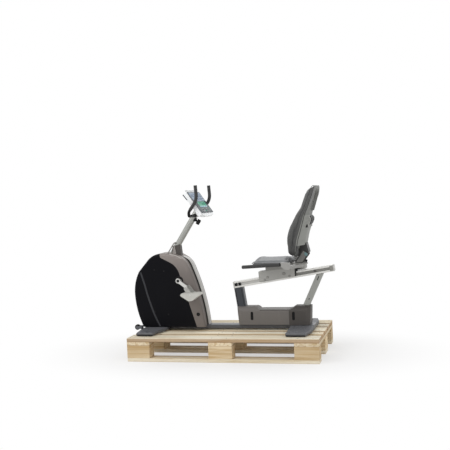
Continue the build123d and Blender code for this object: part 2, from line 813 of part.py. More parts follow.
with BuildPart() as console_rack:
    with BuildSketch(FACE):
        with Locations((-RACK_HEIGHT / 2, -6)):
            Rectangle(RACK_HEIGHT, RACK_THICKNESS)
        add(polygon_face([(0, 0), (40, 0), (40, -20), (0, -20)]), mode=Mode.SUBTRACT)
    extrude(amount=CONSOLE_HALF_WIDTH - 20, both=True)
    add(console_body.part, mode=Mode.SUBTRACT)
save(console_rack, "console_rack")


# ------------------------------------------------------------ rail and its legs
RAIL = side_plane(RAIL_X, RAIL_UNDER_Z, RAIL_SLOPE)
RAIL_TAN = tan(radians(RAIL_SLOPE))


def rail_under(x):
    """Height of the rail's underside at a length."""
    return RAIL_UNDER_Z + (x - RAIL_X) * RAIL_TAN


def leaning_leg(bottom_x, width, lean):
    """Side outline of a leg from the beam to the rail's underside.

    lean is the leg's shift in length for each millimetre of height.
    """
    points = [(bottom_x - width / 2, BEAM_TOP), (bottom_x + width / 2, BEAM_TOP)]
    for x in (bottom_x + width / 2, bottom_x - width / 2):
        rise = (rail_under(x) - BEAM_TOP) / (1 - lean * RAIL_TAN)
        points.append((x + lean * rise, BEAM_TOP + rise))
    return polygon_face(points)


GROOVE_HALF_HEIGHT = ROLLER_RADIUS + FIT
with BuildPart() as rail:
    with BuildSketch(RAIL):
        with Locations((RAIL_CAP + RAIL_LENGTH / 2, RAIL_HEIGHT / 2)):
            Rectangle(RAIL_LENGTH, RAIL_HEIGHT)
    extrude(amount=RAIL_HALF_WIDTH, both=True)
    for side in (-1, 1):
        with BuildSketch(RAIL.offset(side * RAIL_HALF_WIDTH)):
            with Locations((RAIL_CAP + RAIL_LENGTH / 2, RAIL_HEIGHT / 2)):
                Rectangle(RAIL_LENGTH, 2 * GROOVE_HALF_HEIGHT)
        extrude(amount=-side * GROOVE_DEPTH, mode=Mode.SUBTRACT)
save(rail, "rail")

with BuildPart() as rail_end_caps:
    with BuildSketch(RAIL):
        with Locations((RAIL_CAP / 2, RAIL_HEIGHT / 2)):
            Rectangle(RAIL_CAP, RAIL_HEIGHT)
        with Locations((RAIL_LENGTH + 1.5 * RAIL_CAP, RAIL_HEIGHT / 2)):
            Rectangle(RAIL_CAP, RAIL_HEIGHT)
    extrude(amount=RAIL_HALF_WIDTH, both=True)
    far_ends = rail_end_caps.faces().sort_by(Axis.X)
    fillet(far_ends[-1].edges(), radius=6)
save(rail_end_caps, "rail_end_caps")

# Legs: length of the foot's middle, width, shift in length per millimetre of height
FRONT_LEG = leaning_leg(92, 70, -0.136)
REAR_LEG = leaning_leg(505, 53, 0.4737)
with BuildPart() as front_post:
    with BuildSketch(SIDE):
        add(FRONT_LEG)
    extrude(amount=POST_HALF_WIDTH, both=True)
save(front_post, "front_post")

with BuildPart() as rear_strut:
    with BuildSketch(SIDE):
        add(REAR_LEG)
    extrude(amount=STRUT_HALF_WIDTH, both=True)
save(rear_strut, "rear_strut")


# --------------------------------------------------------------------- shroud
SHROUD_PROFILE = (
    (SHROUD_FOOT_START, BEAM_TOP),
    (SHROUD_START, SHROUD_HIGH),
    (193, SHROUD_HIGH),
    (217, SHROUD_LOW),
    (456, SHROUD_LOW),
    (492, SHROUD_HIGH),
    (SHROUD_END, SHROUD_HIGH),
    (SHROUD_FOOT_END, BEAM_TOP),
)
FRONT_SLOT_X = 160
REAR_SLOT_X = 480


def shroud_shell(grow, slot_x):
    """Hollow cover round the legs, open below, grown outwards by grow."""
    middle = (SHROUD_START + SHROUD_END) / 2
    half_width = SHROUD_HALF_WIDTH + grow
    height = SHROUD_HIGH - BEAM_TOP + grow
    cavity_length = SHROUD_FOOT_END - SHROUD_FOOT_START - 2 * SHROUD_WALL
    cavity_middle = (SHROUD_FOOT_START + SHROUD_FOOT_END) / 2
    with BuildPart() as shell:
        with BuildSketch(PLAN.offset(BEAM_TOP)):
            with Locations((middle, 0)):
                RectangleRounded(SHROUD_END - SHROUD_START + 2 * grow, 2 * half_width, SHROUD_CORNER + grow)
        extrude(amount=height)
        with BuildSketch(SIDE):
            add(polygon_face([
                (x + (grow if x > middle else -grow), z + grow if z > BEAM_TOP else z)
                for x, z in SHROUD_PROFILE
            ]))
        extrude(amount=2 * SHROUD_HALF_WIDTH, both=True, mode=Mode.INTERSECT)
        with BuildSketch(ACROSS):
            with Locations((0, BEAM_TOP)):
                RectangleRounded(2 * half_width, 2 * height, SHROUD_CROWN + grow)
        extrude(amount=PALLET_LENGTH, mode=Mode.INTERSECT)
        with BuildSketch(PLAN.offset(BEAM_TOP)):
            with Locations((cavity_middle, 0)):
                RectangleRounded(cavity_length, 2 * (SHROUD_HALF_WIDTH - SHROUD_WALL), SHROUD_CORNER - SHROUD_WALL)
        extrude(amount=SHROUD_LOW - BEAM_TOP - SHROUD_WALL, mode=Mode.SUBTRACT)
        with BuildSketch(SIDE):
            add(FRONT_LEG)
            add(REAR_LEG)
        extrude(amount=POST_HALF_WIDTH, both=True, mode=Mode.SUBTRACT)
        with BuildSketch(side_plane(slot_x, SLOT_Z)):
            SlotOverall(SLOT_HEIGHT, SLOT_WIDTH, rotation=90)
        extrude(amount=2 * SHROUD_HALF_WIDTH, both=True, mode=Mode.SUBTRACT)
    return shell


with BuildPart() as shroud_front:
    add(shroud_shell(0, FRONT_SLOT_X).part)
    split(bisect_by=Plane.YZ.offset(BIKE_X + SHROUD_SPLIT), keep=Keep.BOTTOM)
save(shroud_front, "shroud_front")

with BuildPart() as shroud_rear:
    add(shroud_shell(SHROUD_OVERLAP, REAR_SLOT_X).part)
    split(bisect_by=Plane.YZ.offset(BIKE_X + SHROUD_SPLIT), keep=Keep.TOP)
save(shroud_rear, "shroud_rear")


# ------------------------------------------------------------------- carriage
CARRIAGE_INNER = RAIL_HALF_WIDTH + CARRIAGE_GAP
CARRIAGE_OUTER = CARRIAGE_INNER + CARRIAGE_PLATE
# Carriage plate seen from its side: front top, rear top, rear bottom, front bottom
CARRIAGE_PROFILE = ((219, 445), (498, 473), (498, 404), (222, 369))
ROLLER_STATIONS = (262, 452)

with BuildPart() as carriage:
    for side in (-1, 1):
        with BuildSketch(SIDE.offset(side * CARRIAGE_INNER)):
            add(polygon_face(CARRIAGE_PROFILE))
        extrude(amount=side * CARRIAGE_PLATE)
    front_top, rear_top = CARRIAGE_PROFILE[0], CARRIAGE_PROFILE[1]
    with BuildSketch(SIDE):
        add(polygon_face([
            front_top,
            rear_top,
            (rear_top[0], rear_top[1] - CARRIAGE_PLATE),
            (front_top[0], front_top[1] - CARRIAGE_PLATE),
        ]))
    extrude(amount=CARRIAGE_OUTER, both=True)
save(carriage, "carriage")

with BuildPart() as carriage_rollers:
    for station in ROLLER_STATIONS:
        middle = RAIL_HEIGHT / 2 / cos(radians(RAIL_SLOPE))
        roller_plane = side_plane(station, rail_under(station) + middle)
        for side in (-1, 1):
            with BuildSketch(roller_plane.offset(side * CARRIAGE_INNER)):
                Circle(ROLLER_RADIUS)
            extrude(amount=-side * (CARRIAGE_GAP + GROOVE_DEPTH - 1))
save(carriage_rollers, "carriage_rollers")


# ----------------------------------------------------------------------- seat
def carriage_top(x):
    """Height of the carriage's top at a length."""
    (start_x, start_z), (end_x, end_z) = CARRIAGE_PROFILE[0], CARRIAGE_PROFILE[1]
    return start_z + (x - start_x) * (end_z - start_z) / (end_x - start_x)


# Small lug at the frame's end that carries the recline knob
KNOB_X = 590
KNOB_Y = 44
KNOB_STEM_HEIGHT = 8
KNOB_LUG_HALF_WIDTH = 12
KNOB_LUG_END = KNOB_X + 10
KNOB_LUG_THICKNESS = 8

with BuildPart() as seat_frame:
    with BuildSketch(SIDE):
        add(polygon_face([
            (SEAT_FRAME_START, SEAT_FRAME_TOP),
            (SEAT_FRAME_END, SEAT_FRAME_TOP),
            (SEAT_FRAME_END, SEAT_FRAME_END_BOTTOM),
            CARRIAGE_PROFILE[1],
            (SEAT_FRAME_START, carriage_top(SEAT_FRAME_START)),
        ]))
    extrude(amount=SEAT_FRAME_HALF_WIDTH, both=True)
    with BuildSketch(PLAN.offset(SEAT_FRAME_TOP)):
        with Locations(((SEAT_FRAME_END + KNOB_LUG_END) / 2, -KNOB_Y)):
            Rectangle(KNOB_LUG_END - SEAT_FRAME_END, 2 * KNOB_LUG_HALF_WIDTH)
    extrude(amount=-KNOB_LUG_THICKNESS)
    with BuildSketch(SIDE):
        with Locations((HANDLE_X, HANDLE_Z)):
            Circle(SIDE_HANDLE_RADIUS)
    extrude(amount=SEAT_FRAME_HALF_WIDTH, both=True, mode=Mode.SUBTRACT)
save(seat_frame, "seat_frame")

SEAT_BOTTOM = SEAT_FRAME_TOP + FIT
SEAT_FRONT = 205
SEAT_REAR = 478
# Cushion outline: length, height over the seat's underside
SEAT_PROFILE = (
    (SEAT_FRONT, 0),
    (SEAT_FRONT, 20),
    (213, 34),
    (232, SEAT_CUSHION_HEIGHT),
    (290, 37),
    (370, 37),
    (430, SEAT_CUSHION_HEIGHT),
    (470, 38),
    (SEAT_REAR, 26),
    (SEAT_REAR, 0),
)
# Crown of the cushion across the seat: distance out, height over its underside
SEAT_CROWN = ((0, SEAT_CUSHION_HEIGHT), (120, 38), (185, 34), (SEAT_HALF_WIDTH, 26), (SEAT_HALF_WIDTH, 0))
with BuildPart() as seat_cushion:
    with BuildSketch(SIDE):
        add(polygon_face([(x, SEAT_BOTTOM + z) for x, z in SEAT_PROFILE]))
    extrude(amount=SEAT_HALF_WIDTH, both=True)
    with BuildSketch(ACROSS):
        crown = [(y, SEAT_BOTTOM + z) for y, z in SEAT_CROWN]
        add(polygon_face(crown + [(-y, z) for y, z in crown[:0:-1]]))
    extrude(amount=PALLET_LENGTH, mode=Mode.INTERSECT)
    with BuildSketch(PLAN.offset(SEAT_BOTTOM)):
        with Locations(((SEAT_FRONT + SEAT_REAR) / 2, 0)):
            RectangleRounded(SEAT_REAR - SEAT_FRONT, 2 * SEAT_HALF_WIDTH, SEAT_CORNER)
    extrude(amount=SEAT_CUSHION_HEIGHT, mode=Mode.INTERSECT)
save(seat_cushion, "seat_cushion")

# Cast bracket that joins each side grip to the cross tube: length, height
HANDLE_BRACKET = ((435, 531), (435, 502), (464, 479), (494, 476), (508, 491), (502, 528))
# Cast arm from each bracket back to the seat frame, from above: length, distance out
HANDLE_ARM = (
    (466, SIDE_HANDLE_Y),
    (506, SIDE_HANDLE_Y),
    (SEAT_FRAME_END - 2, SEAT_FRAME_HALF_WIDTH),
    (515, SEAT_FRAME_HALF_WIDTH),
)
HANDLE_ARM_BOTTOM = 480
HANDLE_ARM_TOP = 502
with BuildPart() as side_handles:
    with BuildSketch(SIDE):
        with Locations((HANDLE_X, HANDLE_Z)):
            Circle(SIDE_HANDLE_RADIUS)
    extrude(amount=SIDE_HANDLE_Y, both=True)
    for side in (-1, 1):
        with BuildSketch(SIDE.offset(side * SIDE_HANDLE_Y)):
            add(polygon_face(HANDLE_BRACKET))
        extrude(amount=HANDLE_BRACKET_HALF_WIDTH, both=True)
        with BuildSketch(PLAN.offset(HANDLE_ARM_BOTTOM)):
            add(polygon_face([(x, side * y) for x, y in HANDLE_ARM]))
        extrude(amount=HANDLE_ARM_TOP - HANDLE_ARM_BOTTOM)
save(side_handles, "side_handles")

GRIP_FRONT = (142, 502)
GRIP_REAR = (435, 515)
with BuildPart() as side_grips:
    grip_rise = degrees(atan2(GRIP_REAR[1] - GRIP_FRONT[1], GRIP_REAR[0] - GRIP_FRONT[0]))
    grip_length = hypot(GRIP_REAR[0] - GRIP_FRONT[0], GRIP_REAR[1] - GRIP_FRONT[1])
    for side in (-1, 1):
        start = (BIKE_X + GRIP_FRONT[0], side * SIDE_HANDLE_Y, DECK_HEIGHT + GRIP_FRONT[1])
        along = (cos(radians(grip_rise)), 0, sin(radians(grip_rise)))
        with BuildSketch(Plane(origin=start, x_dir=(0, 1, 0), z_dir=along)):
            Circle(SIDE_GRIP_RADIUS)
        extrude(amount=grip_length + 5)
    with BuildSketch(SIDE):
        add(polygon_face(HANDLE_BRACKET))
    extrude(amount=SIDE_HANDLE_Y + 2 * HANDLE_BRACKET_HALF_WIDTH, both=True, mode=Mode.SUBTRACT)
    fillet(side_grips.faces().group_by(Axis.X)[0].edges(), radius=8)
save(side_grips, "side_grips")


# ------------------------------------------------------------------- backrest
EAR_INNER = BACK_ARM_HALF_WIDTH + EAR_GAP
EAR_OUTER = EAR_INNER + EAR_THICKNESS
# Upright bracket beside the backrest arm: length, height
EAR_PROFILE = (
    (507, SEAT_FRAME_TOP),
    (507, 521),
    (566, 604),
    (582, 596),
    (604, 578),
    (604, 566),
    (565, 514),
    (565, SEAT_FRAME_TOP),
)
with BuildPart() as recline_bracket:
    for side in (-1, 1):
        with BuildSketch(SIDE.offset(side * EAR_INNER)):
            add(polygon_face(EAR_PROFILE))
        extrude(amount=side * EAR_THICKNESS)
    with BuildSketch(SIDE):
        with Locations((PIVOT_X, PIVOT_Z)):
            Circle(PIVOT_PIN_RADIUS)
    extrude(amount=EAR_OUTER, both=True)
save(recline_bracket, "recline_bracket")

with BuildPart() as recline_knob:
    with BuildSketch(PLAN.offset(SEAT_FRAME_TOP)):
        with Locations((KNOB_X, -KNOB_Y)):
            Circle(5)
    extrude(amount=KNOB_STEM_HEIGHT)
    with BuildSketch(PLAN.offset(SEAT_FRAME_TOP + KNOB_STEM_HEIGHT)):
        with Locations((KNOB_X, -KNOB_Y)):
            Circle(9)
    extrude(amount=16)
    fillet(recline_knob.faces().sort_by(Axis.Z)[-1].edges(), radius=5)
save(recline_knob, "recline_knob")

# Line where the cushion meets the shell, from the top down: length, height
BACK_SEAM = (
    (680, BACK_TOP),
    (665, 1018),
    (626, 918),
    (603, 869),
    (567, 757),
    (543, 681),
    (533, 616),
    (523, BACK_BOTTOM),
)
BACK_FRONT = (
    (493, BACK_BOTTOM),
    (476, 582),
    (473, 650),
    (479, 704),
    (493, 759),
    (521, 810),
    (555, 875),
    (588, 924),
    (611, 980),
    (634, 1040),
    (648, 1070),
    (664, BACK_TOP),
)
BACK_REAR = (
    (529, 564),
    (541, 616),
    (549, 646),
    (586, 643),
    (600, 688),
    (615, 733),
    (631, 778),
    (650, 826),
    (650, 838),
    (634, 862),
    (646, 912),
    (660, 957),
    (675, 1001),
    (690, 1050),
    (690, BACK_TOP),
)
with BuildPart() as back_arm:
    with BuildSketch(SIDE):
        with Locations((PIVOT_X, PIVOT_Z)):
            Circle(PIVOT_BARREL_RADIUS)
        add(polygon_face([(545, PIVOT_Z), (541, 612), (549, 655), (595, 655), (612, 586), (590, 562), (576, PIVOT_Z)]))
        add(polygon_face(BACK_SEAM + BACK_REAR), mode=Mode.SUBTRACT)
        with Locations((PIVOT_X, PIVOT_Z)):
            Circle(PIVOT_PIN_RADIUS + RUNNING_FIT, mode=Mode.SUBTRACT)
    extrude(amount=BACK_ARM_HALF_WIDTH, both=True)
save(back_arm, "back_arm")


def seam_at(height):
    """Length of the seam at a height."""
    for (upper_x, upper_z), (lower_x, lower_z) in zip(BACK_SEAM, BACK_SEAM[1:]):
        if height >= lower_z:
            return lower_x + (upper_x - lower_x) * (height - lower_z) / (upper_z - lower_z)
    return BACK_SEAM[-1][0]


def shell_section(share):
    """Side outline of the shell with its depth scaled by share."""
    rear = [(seam_at(z) + share * (x - seam_at(z)), z) for x, z in BACK_REAR]
    return polygon_face(list(BACK_SEAM) + rear)


def back_outline(half_width):
    """Rounded outline of the backrest seen along the bike, as a long bar."""
    with BuildPart() as bar:
        with BuildSketch(ACROSS):
            with Locations((0, (BACK_BOTTOM + BACK_TOP) / 2)):
                RectangleRounded(2 * half_width, BACK_TOP - BACK_BOTTOM, BACK_CORNER)
        extrude(amount=PALLET_LENGTH)
    return bar.part


with BuildPart() as back_shell:
    for out, share in (
        (-BACK_SHELL_HALF_WIDTH, BACK_SHELL_EDGE),
        (-BACK_SHELL_FLAT, 1),
        (BACK_SHELL_FLAT, 1),
        (BACK_SHELL_HALF_WIDTH, BACK_SHELL_EDGE),
    ):
        with BuildSketch(SIDE.offset(out)):
            add(shell_section(share))
    loft(ruled=True)
    add(back_outline(BACK_SHELL_HALF_WIDTH), mode=Mode.INTERSECT)
save(back_shell, "back_shell")

with BuildPart() as back_cushion:
    with BuildSketch(SIDE):
        add(polygon_face([(x - FIT, z) for x, z in BACK_SEAM] + list(BACK_FRONT)))
    extrude(amount=BACK_HALF_WIDTH, both=True)
    add(back_outline(BACK_HALF_WIDTH), mode=Mode.INTERSECT)
save(back_cushion, "back_cushion")
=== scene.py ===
"""Dressed model of a recumbent exercise bike that stands on a timber pallet.

Each class builds and finishes one sub-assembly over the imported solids. Lengths in the classes
are millimetres in the bike's own frame: x runs from the pedals (-) to the seat (+), y towards
the rider's right, z up from the pallet's deck. Shape turns them into metres in the row frame.
"""
import json
import logging
import math
from dataclasses import dataclass
from enum import Enum
from functools import cached_property
from typing import Callable, Iterable, Optional, Sequence, Union

import bmesh
import bpy
from mathutils import Matrix, Vector


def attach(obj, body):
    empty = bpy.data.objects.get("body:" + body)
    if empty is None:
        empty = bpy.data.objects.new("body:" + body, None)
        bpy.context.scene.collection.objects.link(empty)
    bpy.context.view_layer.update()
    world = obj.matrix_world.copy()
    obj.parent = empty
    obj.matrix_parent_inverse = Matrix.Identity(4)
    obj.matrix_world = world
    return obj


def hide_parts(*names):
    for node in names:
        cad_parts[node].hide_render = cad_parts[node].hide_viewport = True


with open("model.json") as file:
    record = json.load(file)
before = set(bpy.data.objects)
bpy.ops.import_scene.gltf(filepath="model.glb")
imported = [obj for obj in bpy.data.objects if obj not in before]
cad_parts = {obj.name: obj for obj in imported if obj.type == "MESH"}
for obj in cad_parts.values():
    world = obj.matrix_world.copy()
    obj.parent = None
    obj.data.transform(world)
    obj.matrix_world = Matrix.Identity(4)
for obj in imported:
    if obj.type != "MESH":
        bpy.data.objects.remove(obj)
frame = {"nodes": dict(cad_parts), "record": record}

LOG = logging.getLogger("bike")
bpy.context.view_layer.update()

MM_PER_METRE = 1000.0
WELD = 0.004
FLAT_TURN = math.radians(0.5)
RIM_TURN = 50.0
BIKE_X = -9.9
DECK_HEIGHT = 176.0
TO_ROW = Matrix.Scale(1 / MM_PER_METRE, 4) @ Matrix.Translation((BIKE_X, 0.0, DECK_HEIGHT))
TO_BIKE = TO_ROW.inverted()

Colour = tuple[float, float, float]
Point = Sequence[float]
Socket = bpy.types.NodeSocket
Value = Union[float, Sequence[float], Socket]

BODY_OF = {node: body for body, nodes in frame["record"]["behaviour"]["bodies"].items() for node in nodes}


# --------------------------------------------------------------------------- shapes
def axes(origin: Point, x_axis: Point, z_axis: Point) -> Matrix:
    """Local frame from an origin and two of its directions.

    Args:
        origin: Where the frame stands.
        x_axis: Direction of the local x.
        z_axis: Direction of the local z, square to x_axis.

    Returns:
        The matrix that turns local points into bike points.
    """
    along = Vector(x_axis).normalized()
    out = Vector(z_axis).normalized()
    side = out.cross(along)
    turn = Matrix((along, side, out)).transposed().to_4x4()
    return Matrix.Translation(Vector(origin)) @ turn


SIDE_VIEW = axes((0, 0, 0), (1, 0, 0), (0, -1, 0))


def held(value: float, low: float = 0.0, high: float = 1.0) -> float:
    """The value, held between two limits."""
    return min(high, max(low, value))


def reading(line: Sequence[Point], place: float) -> float:
    """Read a line of points that each give a number and its place.

    Args:
        line: The points, in any order.
        place: Where to read it.

    Returns:
        The number there, or the nearest end's number beyond the line.
    """
    points = sorted(line, key=lambda point: point[1])
    for (first, start), (last, end) in zip(points, points[1:]):
        if start <= place <= end and end > start:
            return first + (last - first) * (place - start) / (end - start)
    return points[-1][0] if place > points[-1][1] else points[0][0]


def rounded(low: Point, high: Point, corner: float, steps: int, parts: Sequence[int] = (1, 1, 1, 1)) -> list[Vector]:
    """Outline of a rectangle with round corners.

    Args:
        low: Its lowest x and y.
        high: Its highest x and y.
        corner: Radius of the corners.
        steps: Parts of each quarter turn.
        parts: Parts of each straight side, from the one at the highest y on.

    Returns:
        The points, from the corner at the highest x and y on.
    """
    near_x, near_y, far_x, far_y = low[0] + corner, low[1] + corner, high[0] - corner, high[1] - corner
    arcs = []
    for turn, (x, y) in enumerate(((far_x, far_y), (near_x, far_y), (near_x, near_y), (far_x, near_y))):
        angles = [math.radians(90 * (turn + step / steps)) for step in range(steps + 1)]
        arcs.append([Vector((x + corner * math.cos(a), y + corner * math.sin(a))) for a in angles])
    points = []
    for arc, after, count in zip(arcs, arcs[1:] + arcs[:1], parts):
        points += arc + [arc[-1].lerp(after[0], part / count) for part in range(1, count)]
    return points


class Shape:
    """A mesh in the making, in millimetres in the bike's frame."""

    def __init__(self) -> None:
        """Start with an empty mesh."""
        self.mesh = bmesh.new()

    @classmethod
    def of_node(cls, node: str) -> "Shape":
        """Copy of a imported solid, welded and with its flat faces whole.

        Args:
            node: Name of the solid.

        Returns:
            The copy.
        """
        shape = cls()
        shape.mesh.from_mesh(frame["nodes"][node].data)
        shape.mesh.transform(TO_BIKE)
        bmesh.ops.remove_doubles(shape.mesh, verts=shape.mesh.verts, dist=WELD)
        bmesh.ops.dissolve_limit(
            shape.mesh,
            angle_limit=FLAT_TURN,
            use_dissolve_boundaries=False,
            verts=shape.mesh.verts,
            edges=shape.mesh.edges,
        )
        return shape

    @classmethod
    def block(cls, low: Point, high: Point, bevel: float = 0.0, segments: int = 2) -> "Shape":
        """Box between two corners, its edges rounded.

        Args:
            low: Lowest corner.
            high: Highest corner.
            bevel: Width of the rounding, or 0 for none.
            segments: Faces across the rounding.

        Returns:
            The box.
        """
        shape = cls()
        bmesh.ops.create_cube(shape.mesh, size=1.0)
        low, high = Vector(low), Vector(high)
        size = high - low
        shape.mesh.transform(Matrix.Translation((low + high) / 2) @ Matrix.Diagonal((*size, 1.0)))
        return shape.bevelled(bevel, segments) if bevel else shape

    @classmethod
    def rod(
        cls,
        start: Point,
        end: Point,
        radius: float,
        far_radius: Optional[float] = None,
        sides: int = 32,
        bevel: float = 0.0,
    ) -> "Shape":
        """Round bar or cone between two points.

        Args:
            start: Middle of the first end.
            end: Middle of the other end.
            radius: Radius at the first end.
            far_radius: Radius at the other end, the same unless given.
            sides: Faces round it.
            bevel: Rounding of its rims.

        Returns:
            The bar.
        """
        start, end = Vector(start), Vector(end)
        run = end - start
        shape = cls()
        bmesh.ops.create_cone(
            shape.mesh,
            cap_ends=True,
            segments=sides,
            radius1=radius,
            radius2=radius if far_radius is None else far_radius,
            depth=run.length,
        )
        turn = Vector((0, 0, 1)).rotation_difference(run).to_matrix().to_4x4()
        shape.mesh.transform(Matrix.Translation((start + end) / 2) @ turn)
        return shape.bevelled(bevel, 2, RIM_TURN) if bevel else shape

    @classmethod
    def plug(
        cls,
        place: Point,
        near: float,
        far: float,
        radius: float,
        far_radius: Optional[float] = None,
        sides: int = 32,
        bevel: float = 0.0,
    ) -> "Shape":
        """Rod across the bike at an x and z, from one y to another."""
        return cls.rod((place[0], near, place[1]), (place[0], far, place[1]), radius, far_radius, sides, bevel)

    @classmethod
    def prism(
        cls, outline: Iterable[Point], low: float, high: float, place: Matrix = SIDE_VIEW, bevel: float = 0.0
    ) -> "Shape":
        """Flat outline given a thickness.

        Args:
            outline: Corners in the place's own x and y.
            low: Where the thickness starts on the place's z.
            high: Where it ends.
            place: Frame of the outline; the side view, looking from the rider's left, unless given.
            bevel: Rounding of its edges.

        Returns:
            The plate.
        """
        shape = cls()
        corners = [shape.mesh.verts.new((x, y, low)) for x, y in outline]
        made = bmesh.ops.contextual_create(shape.mesh, geom=corners)["faces"]
        grown = bmesh.ops.extrude_face_region(shape.mesh, geom=made)["geom"]
        moved = [v for v in grown if isinstance(v, bmesh.types.BMVert)]
        bmesh.ops.translate(shape.mesh, verts=moved, vec=(0, 0, high - low))
        shape.mesh.transform(place)
        bmesh.ops.recalc_face_normals(shape.mesh, faces=shape.mesh.faces)
        return shape.bevelled(bevel, 2) if bevel else shape

    @classmethod
    def tube(cls, route: Sequence[Point], radius: float, closed: bool = False, smooth: bool = True) -> "Shape":
        """Round bead along a route.

        Args:
            route: Points that the bead follows.
            radius: Its radius.
            closed: Whether it runs back to its start.
            smooth: Whether it curves between the points or turns at them.

        Returns:
            The bead.
        """
        curve = bpy.data.curves.new("bead", "CURVE")
        curve.dimensions = "3D"
        curve.bevel_depth = radius
        curve.bevel_resolution = 3
        curve.resolution_u = 6
        curve.use_fill_caps = not closed
        spline = curve.splines.new("NURBS" if smooth else "POLY")
        spline.points.add(len(route) - 1)
        for point, place in zip(spline.points, route):
            point.co = (*place, 1.0)
        spline.use_cyclic_u = closed
        if smooth:
            spline.order_u = 3
            spline.use_endpoint_u = not closed
        holder = bpy.data.objects.new("bead", curve)
        data = bpy.data.meshes.new_from_object(holder)
        shape = cls()
        shape.mesh.from_mesh(data)
        bmesh.ops.remove_doubles(shape.mesh, verts=shape.mesh.verts, dist=WELD)
        bmesh.ops.recalc_face_normals(shape.mesh, faces=shape.mesh.faces)
        bpy.data.objects.remove(holder)
        bpy.data.curves.remove(curve)
        bpy.data.meshes.remove(data)
        return shape

    def add(self, *others: "Shape") -> "Shape":
        """Take other shapes into this one.

        Args:
            others: The shapes, which are used up.

        Returns:
            The shape itself.
        """
        for other in others:
            data = bpy.data.meshes.new("joined")
            other.mesh.to_mesh(data)
            self.mesh.from_mesh(data)
            bpy.data.meshes.remove(data)
            other.mesh.free()
        return self

    def moved(self, place: Matrix) -> "Shape":
        """Carry the whole shape by a matrix and return it."""
        self.mesh.transform(place)
        return self

    def shrunk(self, middle: Point, shares: Point) -> "Shape":
        """Scale the shape about a point and return it."""
        away = Matrix.Translation(Vector(middle))
        return self.moved(away @ Matrix.Diagonal((*shares, 1.0)) @ away.inverted())

    def bevelled(self, width: float, segments: int = 2, angle: float = 30.0) -> "Shape":
        """Round every edge that is sharper than an angle.

        Args:
            width: Width of the rounding.
            segments: Faces across it.
            angle: Least turn between two faces, in degrees.

        Returns:
            The shape itself.
        """
        least = math.radians(angle)
        sharp = [e for e in self.mesh.edges if e.is_manifold and e.calc_face_angle(0.0) > least]
        bmesh.ops.bevel(
            self.mesh,
            geom=sharp,
            offset=width,
            offset_type="OFFSET",
            segments=segments,
            profile=0.5,
            affect="EDGES",
            clamp_overlap=True,
            loop_slide=True,
            material=-1,
        )
        return self

    def marked(self, value: float) -> "Shape":
        """Give every point the board number that the timber's grain reads.

        Args:
            value: The number.

        Returns:
            The shape itself.
        """
        layer = self.mesh.verts.layers.float.get("board") or self.mesh.verts.layers.float.new("board")
        for vertex in self.mesh.verts:
            vertex[layer] = value
        return self

    def both_sides(self) -> "Shape":
        """Add the shape's mirror image on the bike's other side.

        Returns:
            The shape itself.
        """
        data = bpy.data.meshes.new("mirrored")
        self.mesh.to_mesh(data)
        other = Shape()
        other.mesh.from_mesh(data)
        bpy.data.meshes.remove(data)
        other.mesh.transform(Matrix.Diagonal((1.0, -1.0, 1.0, 1.0)))
        bmesh.ops.reverse_faces(other.mesh, faces=other.mesh.faces)
        return self.add(other)

    def piece(
        self, name: str, finish: "Finish", beside: str, stands_for: Sequence[str] = (), crisp: float = 38.0
    ) -> bpy.types.Object:
        """Turn the shape into a finished piece of the model.

        Args:
            name: The piece's name.
            finish: What it is made of.
            beside: Solid whose body it rides on.
            stands_for: Solids that it is shown instead of.
            crisp: Turn between two faces above which their edge stays crisp, in degrees.

        Returns:
            The Blender object.
        """
        limit = math.radians(crisp)
        for face in self.mesh.faces:
            face.smooth = True
        for edge in self.mesh.edges:
            edge.smooth = not (edge.is_manifold and edge.calc_face_angle(0.0) > limit)
        self.mesh.transform(TO_ROW)
        data = bpy.data.meshes.new(name)
        self.mesh.to_mesh(data)
        self.mesh.free()
        return settle(data, name, finish, beside, stands_for)


def settle(
    data: bpy.types.Mesh, name: str, finish: "Finish", beside: str, stands_for: Sequence[str] = ()
) -> bpy.types.Object:
    """Put a finished mesh in the scene, on its body, with its finish.

    Args:
        data: The mesh, in metres in the row frame.
        name: The piece's name.
        finish: What it is made of.
        beside: Solid whose body it takes.
        stands_for: Solids that it is shown instead of.

    Returns:
        The Blender object.
    """
    data.materials.clear()
    data.materials.append(finish.material())
    piece = bpy.data.objects.new(name, data)
    bpy.context.scene.collection.objects.link(piece)
    shading = piece.modifiers.new("even_shading", "WEIGHTED_NORMAL")
    shading.keep_sharp = True
    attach(piece, BODY_OF[beside])
    if stands_for:
        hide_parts(*stands_for)
    LOG.info("%s: %d faces on %s", name, len(data.polygons), BODY_OF[beside])
    return piece


def softened(node: str, finish: "Finish", width: float, segments: int = 2, angle: float = 30.0) -> bpy.types.Object:
    """Show a solid by a copy with rounded edges.

    Args:
        node: Name of the solid.
        finish: What it is made of.
        width: Width of the rounding.
        segments: Faces across the rounding.
        angle: Least turn of an edge that is rounded, in degrees.

    Returns:
        The piece.
    """
    shape = Shape.of_node(node)
    if width:
        shape.bevelled(width, segments, angle)
    return shape.piece(f"{node}_dressed", finish, node, (node,))


# ------------------------------------------------------------------------- finishes
def tone(red: float, green: float, blue: float) -> Colour:
    """Linear channels of a screen colour, whose own run from 0 to 255."""
    levels = (channel / 255 for channel in (red, green, blue))
    return tuple(level / 12.92 if level <= 0.04045 else ((level + 0.055) / 1.055) ** 2.4 for level in levels)


def tinted(colour: Colour, share: float) -> Colour:
    """The colour lighter or darker by a share of itself."""
    return tuple(min(1.0, channel * share) for channel in colour)


class Axis(Enum):
    """Direction that grain, brushing or a bar runs in."""

    ALONG = (0.03, 1.0, 1.0)
    ACROSS = (1.0, 0.03, 1.0)
    UP = (1.0, 1.0, 0.03)


